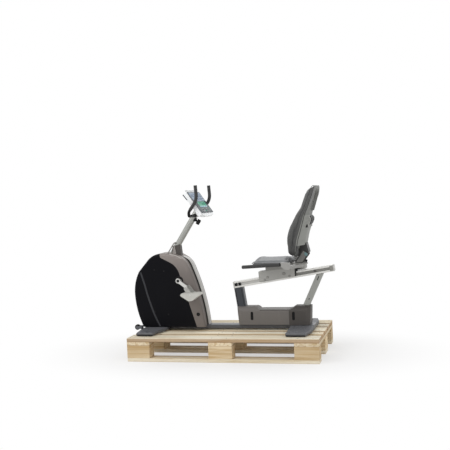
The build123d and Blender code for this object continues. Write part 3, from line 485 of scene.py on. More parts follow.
EVEN = (1.0, 1.0, 1.0)
STILL = (0.0, 0.0, 0.0)
SOCKETS = {
    "metallic": "Metallic",
    "roughness": "Roughness",
    "specular": "Specular IOR Level",
    "coat": "Coat Weight",
    "coat_roughness": "Coat Roughness",
    "sheen": "Sheen Weight",
    "sheen_roughness": "Sheen Roughness",
}


class Graph:
    """Nodes of one material, or of the world."""

    def __init__(self, tree: bpy.types.NodeTree) -> None:
        """Work on a node tree."""
        self.tree = tree

    @cached_property
    def here(self) -> Socket:
        """The object coordinates, in metres."""
        return self.tree.nodes.new("ShaderNodeTexCoord").outputs["Object"]

    def put(self, socket: Socket, value: Value) -> None:
        """Link a socket to another, or set its number.

        Args:
            socket: The input.
            value: What goes in.
        """
        if isinstance(value, bpy.types.NodeSocket):
            self.tree.links.new(value, socket)
        elif isinstance(value, (tuple, list)) and len(value) == 3 and socket.type == "RGBA":
            socket.default_value = (*value, 1.0)
        else:
            socket.default_value = value

    def node(self, kind: str, **inputs: Value) -> bpy.types.Node:
        """New node with its named inputs filled.

        Args:
            kind: Its type, without the word that they all start with.
            inputs: What goes into it, by the inputs' names in lower case.

        Returns:
            The node.
        """
        made = self.tree.nodes.new(f"ShaderNode{kind}")
        for label, value in inputs.items():
            self.put(made.inputs[label.title()], value)
        return made

    def operated(self, kind: str, values: Iterable[Value], **modes: str) -> bpy.types.Node:
        """New node with its modes set and its first inputs filled in order.

        Args:
            kind: Its type, without the word that they all start with.
            values: What goes into it.
            modes: Its settings.

        Returns:
            The node.
        """
        made = self.tree.nodes.new(f"ShaderNode{kind}")
        for label, mode in modes.items():
            setattr(made, label, mode)
        for socket, value in zip(made.inputs, values):
            self.put(socket, value)
        return made

    def placed(self, stretch: Point = EVEN, shift: Value = STILL) -> Socket:
        """Object coordinates, stretched and moved."""
        return self.node("Mapping", vector=self.here, location=shift, scale=tuple(stretch)).outputs[0]

    def noise(
        self,
        size: float,
        detail: float = 2.0,
        stretch: Point = EVEN,
        distortion: float = 0.0,
        shift: Value = STILL,
    ) -> Socket:
        """Noise value.

        Args:
            size: Rough size of its patches in millimetres.
            detail: Octaves of finer noise.
            stretch: Scale on each axis; below 1 draws the patches out.
            distortion: How much the patches swirl.
            shift: Offset of the pattern.

        Returns:
            A value from 0 to 1.
        """
        where = self.placed(stretch, shift)
        made = self.node("TexNoise", vector=where, scale=MM_PER_METRE / size, detail=detail, distortion=distortion)
        return made.outputs[0]

    def cells(self, size: float, feature: str = "F1", stretch: Point = EVEN, shift: Value = STILL) -> Socket:
        """Cell pattern.

        Args:
            size: Rough size of the cells in millimetres.
            feature: What its distances are measured to.
            stretch: Scale on each axis; below 1 draws the cells out.
            shift: Offset of the pattern.

        Returns:
            The distance.
        """
        made = self.node("TexVoronoi", vector=self.placed(stretch, shift), scale=MM_PER_METRE / size)
        made.feature = feature
        return made.outputs["Distance"]

    def maths(self, operation: str, first: Value, second: Value = 0.0) -> Socket:
        """Result of an operation on two numbers."""
        return self.operated("Math", (first, second), operation=operation).outputs[0]

    def sum_of(self, start: Value, value: Value, share: float) -> Socket:
        """A start and a share of a value."""
        return self.maths("ADD", self.maths("MULTIPLY", value, share), start)

    def span(self, value: Value, low: float, high: float, start: float = 0.0, end: float = 1.0) -> Socket:
        """Value carried smoothly from low..high to start..end and held at its ends."""
        limits = (value, low, high, start, end)
        return self.operated("MapRange", limits, interpolation_type="SMOOTHSTEP").outputs[0]

    def blend(self, share: Value, first: Value, second: Value, mode: str = "MIX") -> Socket:
        """Blend two colours.

        Args:
            share: How much of the second is taken.
            first: The first colour.
            second: The second colour.
            mode: How they are blended.

        Returns:
            The colour.
        """
        made = self.operated("Mix", (share,), data_type="RGBA", blend_type=mode)
        self.put(made.inputs[6], first)
        self.put(made.inputs[7], second)
        return made.outputs[2]

    def shades(self, share: Value, colour: Colour, dark: float, pale: float) -> Socket:
        """Colour between a darker and a paler tint of one colour."""
        return self.blend(share, tinted(colour, dark), tinted(colour, pale))

    def height(self) -> Socket:
        """Height over the floor, in metres."""
        return self.node("SeparateXYZ", vector=self.here).outputs[2]

    def shaded(self, colour: Value, share: Value, warmth: float = 1.0) -> Socket:
        """Make a colour darker or paler by a share of itself.

        Args:
            colour: The colour.
            share: The share of its red that stays.
            warmth: Power of that share that stays of its blue; green takes a power halfway to it.

        Returns:
            The new colour.
        """
        green, blue = (
            share if power == 1.0 else self.maths("POWER", share, power) for power in ((1.0 + warmth) / 2, warmth)
        )
        tint = self.node("CombineColor", red=share, green=green, blue=blue).outputs[0]
        return self.blend(1.0, colour, tint, "MULTIPLY")

    def bump(self, height: Value, depth: float, under: Optional[Value] = None) -> Socket:
        """Normal of a relief.

        Args:
            height: The relief, from 0 to 1.
            depth: Its depth in millimetres.
            under: Normal of a relief that it lies on.

        Returns:
            The normal.
        """
        made = self.node("Bump", height=height, distance=depth / MM_PER_METRE, strength=1.0)
        if under is not None:
            self.put(made.inputs["Normal"], under)
        return made.outputs[0]


class Surface(Graph):
    """Nodes of one finish's material."""

    def __init__(self, name: str, **sockets: float) -> None:
        """Start a material with its shader's plain numbers set.

        Args:
            name: The finish's name.
            sockets: Numbers for the shader, by their names in SOCKETS.
        """
        self.result = bpy.data.materials.new(f"{name}_finish")
        self.result.use_nodes = True
        super().__init__(self.result.node_tree)
        self.shader = self.tree.nodes["Principled BSDF"]
        for key, number in sockets.items():
            self.shader.inputs[SOCKETS[key]].default_value = number

    def done(self, colour: Value, roughness: Value, normal: Optional[Value] = None) -> bpy.types.Material:
        """Fill the shader.

        Args:
            colour: Its base colour.
            roughness: Its roughness.
            normal: Its normal, if it has a relief.

        Returns:
            The material.
        """
        self.put(self.shader.inputs["Base Color"], colour)
        self.put(self.shader.inputs["Roughness"], roughness)
        if normal is not None:
            self.put(self.shader.inputs["Normal"], normal)
        return self.result


@dataclass(frozen=True)
class Finish:
    """What a piece is made of."""

    name: str
    colour: Colour

    def material(self) -> bpy.types.Material:
        """The finish's material, made once."""
        return bpy.data.materials.get(f"{self.name}_finish") or self.mixed()

    def mixed(self) -> bpy.types.Material:
        """New material of the finish."""
        return Surface(self.name).done(self.colour, 0.5)


@dataclass(frozen=True)
class Moulded(Finish):
    """Injection-moulded plastic with a fine spark grain and faint scuffs.

    fade holds two heights in metres and the share of the colour at each. On the band it is painted light, paler
    towards its top where the light falls; on the shell it is a real darker upper part.
    """

    roughness: float = 0.48
    grain: float = 1.1
    depth: float = 0.05
    mottle: float = 0.07
    gloss: float = 0.3
    fade: tuple = ()

    def mixed(self) -> bpy.types.Material:
        """Mix the finish.

        Returns:
            Its new material.
        """
        graph = Surface(self.name, specular=self.gloss)
        cloud = graph.noise(170, 3)
        scuff = graph.span(graph.noise(38, 5, (1.0, 1.0, 0.4)), 0.57, 0.72)
        colour = graph.shades(cloud, self.colour, 1 - self.mottle, 1 + self.mottle)
        colour = graph.blend(graph.maths("MULTIPLY", scuff, 0.12), colour, tinted(self.colour, 1.5))
        # Tone by height: painted light on the band, paler towards its top; a real darker upper part on the shell.
        if self.fade:
            colour = graph.shaded(colour, graph.span(graph.height(), *self.fade))
        grain = graph.noise(self.grain, 2)
        rough = graph.sum_of(graph.sum_of(self.roughness, scuff, 0.1), grain, 0.06)
        return graph.done(colour, rough, graph.bump(grain, self.depth))


@dataclass(frozen=True)
class Enamelled(Finish):
    """Powder-coated steel with a light orange-peel skin."""

    roughness: float = 0.4
    metallic: float = 0.25
    peel: float = 2.6

    def mixed(self) -> bpy.types.Material:
        """Mix the finish.

        Returns:
            Its new material.
        """
        graph = Surface(self.name, metallic=self.metallic, coat=0.15, coat_roughness=0.25)
        cloud = graph.noise(140, 3)
        flake = graph.span(graph.noise(0.8, 1), 0.6, 0.75, 0.0, 0.25)
        colour = graph.blend(flake, graph.shades(cloud, self.colour, 0.93, 1.07), tinted(self.colour, 1.6))
        rough = graph.sum_of(self.roughness - 0.05, cloud, 0.1)
        return graph.done(colour, rough, graph.bump(graph.noise(self.peel, 1), 0.04))


@dataclass(frozen=True)
class Brushed(Finish):
    """Bare or plated metal with fine lines one way."""

    roughness: float = 0.3
    lines: Axis = Axis.ALONG
    metallic: float = 0.85

    def mixed(self) -> bpy.types.Material:
        """Mix the finish.

        Returns:
            Its new material.
        """
        graph = Surface(self.name, metallic=self.metallic)
        line = graph.noise(1.6, 3, self.lines.value)
        rough = graph.sum_of(graph.sum_of(self.roughness - 0.07, line, 0.14), graph.noise(90, 2), 0.06)
        return graph.done(graph.shades(line, self.colour, 0.93, 1.05), rough, graph.bump(line, 0.02))


@dataclass(frozen=True)
class Cast(Finish):
    """Sand-cast alloy under a silver paint."""

    roughness: float = 0.42

    def mixed(self) -> bpy.types.Material:
        """Mix the finish.

        Returns:
            Its new material.
        """
        graph = Surface(self.name, metallic=0.45)
        pits = graph.noise(3.2, 4)
        colour = graph.shades(graph.noise(60, 2), self.colour, 0.9, 1.06)
        return graph.done(colour, graph.sum_of(self.roughness, pits, 0.15), graph.bump(pits, 0.12))


@dataclass(frozen=True)
class Timber(Finish):
    """Sawn softwood with its own grain on each board.

    The painted shades are pairs of heights in metres between which the wood goes from a share of its colour to all of
    it: painted shade on the boards' sides and where boards, blocks and the floor meet.
    """

    streak: Colour = tone(206, 176, 128)
    knot: Colour = tone(128, 84, 44)
    lines: Axis = Axis.ALONG
    spread: float = 0.14
    painted_shades: tuple = ()
    warmth: float = 1.9

    def drawn(self, share: float) -> Point:
        """Stretch that draws a pattern out along the grain."""
        return tuple(1.0 if part == 1.0 else share for part in self.lines.value)

    def mixed(self) -> bpy.types.Material:
        """Mix the finish.

        Returns:
            Its new material.
        """
        graph = Surface(self.name, specular=0.25)
        board = graph.node("Attribute")
        board.attribute_name = "board"
        number = board.outputs["Fac"]
        shift = graph.node("CombineXYZ", x=number, y=number, z=number).outputs[0]
        rings = graph.noise(26, 4, self.drawn(0.03), 1.2, shift)
        fibre = graph.noise(2.2, 3, self.drawn(0.03), 0.0, shift)
        broad = graph.noise(180, 2, self.drawn(0.12), 0.4, shift)
        colour = graph.blend(graph.span(rings, 0.42, 0.66), self.colour, self.streak)
        colour = graph.blend(graph.span(broad, 0.45, 0.75, 0.0, 0.55), colour, tinted(self.streak, 0.86))
        colour = graph.blend(graph.span(fibre, 0.5, 0.72, 0.0, 0.35), colour, tinted(self.streak, 0.78))
        knots = graph.cells(230, "F1", self.drawn(0.12), shift)
        ring = graph.span(graph.sum_of(knots, fibre, 0.03), 0.035, 0.085, 1.0, 0.0)
        colour = graph.blend(graph.maths("MULTIPLY", ring, 0.8), colour, self.knot)
        wave = graph.maths("FRACT", graph.maths("MULTIPLY", number, 7.31))
        colour = graph.shaded(colour, graph.span(wave, 0.0, 1.0, 1.0 - self.spread, 1.0))
        # Painted shade: darker bands by height on the boards' sides and where boards, blocks and the floor meet.
        for low, high, under in self.painted_shades:
            colour = graph.shaded(colour, graph.span(graph.height(), low, high, under, 1.0), self.warmth)
        relief = graph.bump(fibre, 0.35, graph.bump(rings, 0.5))
        return graph.done(colour, graph.span(rings, 0.3, 0.7, 0.74, 0.86), relief)


@dataclass(frozen=True)
class Foam(Finish):
    """Closed-cell foam sleeve with a dull, slightly worn skin."""

    pores: float = 1.6

    def mixed(self) -> bpy.types.Material:
        """Mix the finish.

        Returns:
            Its new material.
        """
        graph = Surface(self.name, specular=0.25, sheen=0.12, sheen_roughness=0.6)
        pores = graph.noise(self.pores, 3)
        worn = graph.maths("MULTIPLY", graph.span(graph.noise(45, 3), 0.5, 0.75), 0.4)
        colour = graph.blend(worn, graph.shades(pores, self.colour, 0.75, 1.2), tinted(self.colour, 1.7))
        return graph.done(colour, 0.82, graph.bump(pores, 0.16))


@dataclass(frozen=True)
class Rubber(Finish):
    """Dark rubber with a dusty bloom."""

    def mixed(self) -> bpy.types.Material:
        """Mix the finish.

        Returns:
            Its new material.
        """
        graph = Surface(self.name, specular=0.35)
        dust = graph.span(graph.noise(30, 5), 0.45, 0.75)
        colour = graph.blend(graph.maths("MULTIPLY", dust, 0.35), self.colour, tinted(self.colour, 2.2))
        return graph.done(colour, graph.span(dust, 0.0, 1.0, 0.6, 0.8), graph.bump(graph.noise(1.4, 2), 0.06))


@dataclass(frozen=True)
class Vinyl(Finish):
    """Upholstery vinyl with a leather grain, a little paler where it is stretched."""

    grain: float = 3.4
    mottle: float = 0.16
    fade: tuple = ()

    def mixed(self) -> bpy.types.Material:
        """Mix the finish.

        Returns:
            Its new material.
        """
        graph = Surface(self.name, specular=0.4, sheen=0.08, sheen_roughness=0.5)
        pebbles = graph.cells(self.grain, "DISTANCE_TO_EDGE")
        crease = graph.span(pebbles, 0.0, 0.12)
        cloud = graph.noise(70, 4, distortion=0.5)
        wear = graph.noise(9, 3)
        colour = graph.shades(cloud, self.colour, 1 - self.mottle, 1 + self.mottle)
        colour = graph.blend(graph.span(wear, 0.45, 0.75, 0.0, 0.4), colour, tinted(self.colour, 1.25))
        # Darker along the creases of the grain: painted shade.
        colour = graph.blend(graph.span(crease, 0.0, 1.0, 0.35, 0.0), colour, tinted(self.colour, 0.55))
        # Tone by height: on the back pad, paler towards its top where the light falls, this is painted light.
        if self.fade:
            colour = graph.shaded(colour, graph.span(graph.height(), *self.fade))
        wrinkle = graph.bump(graph.noise(24, 3, distortion=0.8), 0.5)
        return graph.done(colour, graph.sum_of(0.47, cloud, 0.12), graph.bump(crease, 0.12, wrinkle))


@dataclass(frozen=True)
class Film(Finish):
    """Printed film or ink under a thin clear layer."""

    roughness: float = 0.42

    def mixed(self) -> bpy.types.Material:
        """Mix the finish.

        Returns:
            Its new material.
        """
        graph = Surface(self.name, specular=0.12)
        colour = graph.shades(graph.noise(0.9, 1), self.colour, 0.95, 1.05)
        return graph.done(colour, graph.span(graph.noise(25, 3), 0.4, 0.7, self.roughness, self.roughness + 0.1))


# Painted shade: the deck boards' sides and feet, the tops of the cross boards under the deck and the tops of the
# blocks under the cross boards are darker.
DECK_PAINTED_SHADES = ((0.171, 0.1752, 0.6), (0.1488, 0.156, 0.85))
CROSS_PAINTED_SHADES = ((0.1492, 0.1445, 0.55),)
BLOCK_PAINTED_SHADES = ((0.1222, 0.118, 0.7),)
PINE_DECK = Timber("pine_deck", tone(255, 249, 231), streak=tone(242, 223, 187), painted_shades=DECK_PAINTED_SHADES)
# The bottom boards are darker over their lowest 6 mm, against the floor: painted shade.
PINE_LONG = Timber("pine_long", tone(248, 238, 216), streak=tone(226, 206, 168), painted_shades=((0.0, 0.006, 0.8),))
PINE_CROSS = Timber(
    "pine_cross", tone(244, 228, 198), streak=tone(218, 192, 150), lines=Axis.ACROSS, painted_shades=CROSS_PAINTED_SHADES
)
BLOCK_WOOD = Timber("block_wood", tone(242, 222, 186), streak=tone(208, 176, 128), spread=0.2, painted_shades=BLOCK_PAINTED_SHADES)
NAIL_STEEL = Brushed("nail_steel", tone(120, 116, 108), roughness=0.45)
BASE_STEEL = Enamelled("base_steel", tone(90, 92, 97), roughness=0.42)
POST_STEEL = Enamelled("post_steel", tone(48, 52, 58), roughness=0.4)
FOOT_PLASTIC = Moulded("foot_plastic", tone(102, 103, 107), roughness=0.5)
BLACK_RUBBER = Rubber("black_rubber", tone(34, 34, 33))
BLACK_PLASTIC = Moulded("black_plastic", tone(24, 24, 25), roughness=0.45, depth=0.03, gloss=0.15)
COVER_PLASTIC = Moulded(
    "cover_plastic", tone(13, 13, 17), roughness=0.46, grain=1.4, depth=0.03, mottle=0.12, gloss=0.08
)
# Paler towards the top of the band, where the light falls: painted light.
BAND_PLASTIC = Moulded("band_plastic", tone(120, 113, 109), roughness=0.42, depth=0.03, fade=(0.6, 0.775, 0.97, 1.48))
# Pale bead colour for the gleam on the housing's rounded top edge: painted highlight.
BROW_HIGHLIGHT = Moulded("brow_painted_highlight", tone(196, 191, 186), roughness=0.3, depth=0.02)
# Paler than the cover plastic, for the gleam along the raised front seam lip: a real ridge with a painted highlight.
LIP_HIGHLIGHT = Moulded("lip_painted_highlight", tone(36, 37, 42), roughness=0.36, depth=0.02, gloss=0.4)
WHEEL_PLASTIC = Moulded("wheel_plastic", tone(20, 20, 20), roughness=0.5, gloss=0.12)
HOOP_STEEL = Enamelled("hoop_steel", tone(150, 147, 143), roughness=0.34, metallic=0.3)
# Grey for the crescent shadow at the rail's end plate: painted shadow.
CRESCENT_SHADOW = Moulded("plug_painted_shadow", tone(140, 139, 134), roughness=0.5)
STRIP_PLASTIC = Moulded("strip_plastic", tone(198, 197, 194), roughness=0.34, depth=0.02)
BRIGHT_STEEL = Brushed("bright_steel", tone(212, 211, 208), roughness=0.26)
FLYWHEEL_IRON = Brushed("flywheel_iron", tone(96, 96, 98), roughness=0.45, lines=Axis.UP)
PEDAL_PLASTIC = Moulded("pedal_plastic", tone(196, 195, 189), roughness=0.45)
STRAP_RUBBER = Rubber("strap_rubber", tone(166, 165, 161))
MAST_SILVER = Enamelled("mast_silver", tone(162, 163, 158), roughness=0.3, metallic=0.55)
BOOT_PLASTIC = Moulded("boot_plastic", tone(84, 80, 77), roughness=0.5)
GUSSET_PLASTIC = Moulded("gusset_plastic", tone(170, 165, 160), roughness=0.45)
CHEEK_PLASTIC = Moulded("cheek_plastic", tone(130, 129, 126), roughness=0.5)
BRACKET_STEEL = Enamelled("bracket_steel", tone(58, 58, 56), roughness=0.45, metallic=0.15)
ARM_STEEL = Enamelled("arm_steel", tone(44, 44, 43), roughness=0.45, metallic=0.1)
BAR_FOAM = Foam("bar_foam", tone(62, 62, 62))
CONSOLE_PLASTIC = Moulded("console_plastic", tone(248, 250, 251), roughness=0.4, depth=0.02, mottle=0.04)
RACK_PLASTIC = Moulded("rack_plastic", tone(206, 209, 210), roughness=0.4, depth=0.02)
OVERLAY_FILM = Film("overlay_film", tone(60, 70, 76))
PANEL_FILM = Film("panel_film", tone(146, 164, 184))
BAR_INK = Film("bar_ink", tone(104, 122, 146))
KEYPAD_FILM = Film("keypad_film", tone(92, 96, 100))
LCD_GREEN = Film("lcd_green", tone(92, 190, 156), roughness=0.35)
LCD_BLUE = Film("lcd_blue", tone(158, 200, 212), roughness=0.35)
LCD_INK = Film("lcd_ink", tone(30, 62, 56))
KEY_FILM = Film("key_film", tone(158, 162, 162))
KEY_ACCENT = Film("key_accent", tone(96, 170, 146))
RAIL_METAL = Enamelled("rail_metal", tone(216, 215, 211), roughness=0.3, metallic=0.45)
# Inlays in the rail's groove: a lit copy at the front and a darker copy at the rear, where the seat's shadow falls:
# painted light and shadow.
LIT_GROOVE = Enamelled("groove_painted_light", tone(186, 185, 181), roughness=0.36, metallic=0.4)
SHADED_GROOVE = Enamelled("groove_painted_shadow", tone(124, 123, 118), roughness=0.4, metallic=0.3)
STRUT_SILVER = Enamelled("strut_silver", tone(152, 153, 148), roughness=0.36, metallic=0.4)
CARRIAGE_STEEL = Enamelled("carriage_steel", tone(166, 165, 161), roughness=0.42, metallic=0.3)
SEAT_STEEL = Cast("seat_steel", tone(150, 149, 145))
CAST_SILVER = Cast("cast_silver", tone(156, 155, 152))
SHROUD_PLASTIC = Moulded("shroud_plastic", tone(112, 108, 105), roughness=0.5, depth=0.05)
SHROUD_DARK = Moulded("shroud_dark", tone(76, 72, 69), roughness=0.5, depth=0.05)
SEAT_VINYL = Vinyl("seat_vinyl", tone(125, 127, 129))
# Paler towards the top of the back pad, where the light falls: painted light.
BACK_VINYL = Vinyl("back_vinyl", tone(79, 79, 78), fade=(0.8, 1.26, 0.88, 1.4))
PIPING = Rubber("piping", tone(58, 58, 58))
SHELL_PLASTIC = Moulded("shell_plastic", tone(139, 140, 135), roughness=0.48, fade=(1.038, 1.046, 1.0, 0.7))
TEAL_PLASTIC = Moulded("teal_plastic", tone(118, 150, 152), roughness=0.4)


# ----------------------------------------------------------------------- assemblies
@dataclass
class Assembly:
    """A sub-assembly of the model.

    coats gives the solids that only have their edges rounded: name, finish, width of the
    rounding and, unless it is two, the faces across it.
    """

    coats: tuple = ()

    def build(self) -> None:
        """Round and finish the solids in coats."""
        for row in self.coats:
            softened(*row)


@dataclass
class Pallet(Assembly):
    """Four-way timber pallet with five deck boards; rows give a middle and a width."""

    middle: float = -12.1
    length: float = 1445.0
    width: float = 800.0
    board: float = 27.0
    block_height: float = 95.0
    block_length: float = 178.0
    deck_rows: tuple = ((-327.5, 145.0), (-163.75, 100.0), (0.0, 145.0), (163.75, 100.0), (327.5, 145.0))
    block_rows: tuple = ((-350.0, 100.0), (0.0, 145.0), (350.0, 100.0))
    arris: float = 2.2
    nail_along: float = 55.0
    nail_edge: float = 24.0
    nail_skew: float = 0.2
    nail_radius: float = 4.6

    def timber(self, along: Point, across: Point, top: float, thickness: float, number: int) -> Shape:
        """One board or block.

        Args:
            along: Its middle and length along the pallet.
            across: Its middle and width across the pallet.
            top: Height of its upper face.
            thickness: Its thickness.
            number: Number that its grain goes by.

        Returns:
            The board.
        """
        low = (along[0] - along[1] / 2, across[0] - across[1] / 2, top - thickness)
        high = (along[0] + along[1] / 2, across[0] + across[1] / 2, top)
        return Shape.block(low, high, self.arris).marked(number)

    def nails(self, x: float) -> Shape:
        """Nail heads over one row of blocks.

        Args:
            x: The row's middle.

        Returns:
            The heads.
        """
        heads = Shape()
        for y, width in self.deck_rows:
            for along in (-self.nail_along, self.nail_along):
                for out in (self.nail_edge - width / 2, width / 2 - self.nail_edge):
                    place = (x + along + self.nail_skew * out, y + out)
                    heads.add(Shape.rod((*place, -1.5), (*place, 0.5), self.nail_radius, sides=12, bevel=0.4))
        return heads

    def build(self) -> None:
        """Make the boards, blocks and nails."""
        decks, bottoms, crosses, blocks, nails = (Shape() for _ in range(5))
        whole = (self.middle, self.length)
        bottom = -2 * self.board - self.block_height
        for row, board in enumerate(self.deck_rows):
            decks.add(self.timber(whole, board, 0.0, self.board, 1 + row))
        for row, board in enumerate(self.block_rows):
            bottoms.add(self.timber(whole, board, bottom, self.board, 11 + row))
        step = (self.length - self.block_length) / 2
        for column, x in enumerate((self.middle - step, self.middle, self.middle + step)):
            along = (x, self.block_length)
            crosses.add(self.timber(along, (0.0, self.width), -self.board, self.board, 21 + column))
            for row, block in enumerate(self.block_rows):
                number = 31 + 3 * column + row
                blocks.add(self.timber(along, block, -2 * self.board, self.block_height, number))
            nails.add(self.nails(x))
        woods = (PINE_DECK, PINE_LONG, PINE_CROSS, BLOCK_WOOD)
        names = ("deck_boards", "bottom_boards", "cross_boards", "blocks")
        for name, shape, wood in zip(names, (decks, bottoms, crosses, blocks), woods):
            shape.piece(name, wood, f"pallet_{name}", (f"pallet_{name}",))
        nails.piece("deck_nails", NAIL_STEEL, "pallet_deck_boards")


# ----------------------------------------------------------------------------- base
@dataclass
class Base(Assembly):
    """Floor beam, cross members, feet and transport wheels.

    ribs gives each rib's place along the bike, how far out it starts and its foot's root height;
    caps each cap's two heights, two radii, sides and rounding.
    """

    coats: tuple = (
        ("base_beam", BASE_STEEL, 4.0, 3),
        ("front_cross_member", BASE_STEEL, 2.0),
        ("rear_cross_member", BASE_STEEL, 2.0),
        ("front_feet", FOOT_PLASTIC, 5.0, 3),
        ("rear_feet", FOOT_PLASTIC, 5.0, 3),
        ("foot_pads", BLACK_RUBBER, 1.2),
        ("wheel_brackets", BASE_STEEL, 1.0),
    )
    ribs: tuple = (
        (-660.0, 205.0, 30.0), (-632.0, 205.0, 30.0), (-604.0, 216.2, 30.0), (-576.0, 227.4, 30.0),
        (486.0, 90.0, 38.0), (516.0, 90.0, 38.0), (546.0, 90.0, 38.0), (576.0, 90.0, 38.0),
    )
    rib_end: float = 312.0
    rib_width: float = 7.0
    rib_rise: float = 1.8
    foot_root: float = 60.0
    foot_reach: float = 330.0
    foot_tip: float = 27.0
    feet: tuple = ((-686.0, -551.0), (459.0, 608.0))
    pads: tuple = (-620.0, 530.0)
    pad_y: float = 298.0
    wheel: tuple = (-740.0, 40.0)
    wheel_y: float = 150.0
    hub_y: float = 10.0
    hub_rise: float = 2.2
    lip: tuple = (4.0, 15.0, 1.5, 5.0)
    caps: tuple = ((24.0, 31.0, 17.0, 15.5, 32, 1.2), (30.0, 33.0, 7.0, 7.0, 6, 0.8))

    def rib(self, x: float, start: float, root: float) -> Shape:
        """One raised rib along a foot's upper face, on the rider's left.

        Args:
            x: Its middle along the bike.
            start: How far out it starts.
            root: Height of the foot where it leaves the beam.

        Returns:
            The rib.
        """
        outline = []
        for y, rise in ((start, -2), (start, self.rib_rise), (self.rib_end, self.rib_rise), (self.rib_end, -2)):
            top = root + (self.foot_tip - root) * (y - self.foot_root) / (self.foot_reach - self.foot_root)
            outline.append((-y, top + rise))
        across = axes((x - self.rib_width / 2, 0, 0), (0, 1, 0), (1, 0, 0))
        return Shape.prism(outline, 0.0, self.rib_width, across, bevel=0.8)

    def build(self) -> None:
        """Make the base's pieces."""
        super().build()
        ribs, lips, caps = Shape(), Shape(), Shape()
        for row in self.ribs:
            ribs.add(self.rib(*row))
        ribs.both_sides().piece("foot_ribs", FOOT_PLASTIC, "front_feet")
        bottom, top, out, thick = self.lip
        for start, end in self.feet:
            low = (start + 4, -self.foot_reach - out, bottom)
            lips.add(Shape.block(low, (end - 4, -self.foot_reach + thick, top), 2.0))
        lips.both_sides().piece("foot_lips", BLACK_RUBBER, "foot_pads")
        for x in self.pads:
            for low, high, *size in self.caps:
                caps.add(Shape.rod((x, -self.pad_y, low), (x, -self.pad_y, high), *size))
        caps.both_sides().piece("leveller_caps", BASE_STEEL, "front_feet")
        for name, side in (("left", -1), ("right", 1)):
            node = f"transport_wheel_{name}"
            softened(node, WHEEL_PLASTIC, 0.0)
            hub = Shape()
            for out in (-1, 1):
                y = side * self.wheel_y + out * self.hub_y
                hub.add(Shape.plug(self.wheel, y, y + out * self.hub_rise, 9.0, 7.0))
            hub.piece(f"wheel_hub_{name}", BRIGHT_STEEL, node)


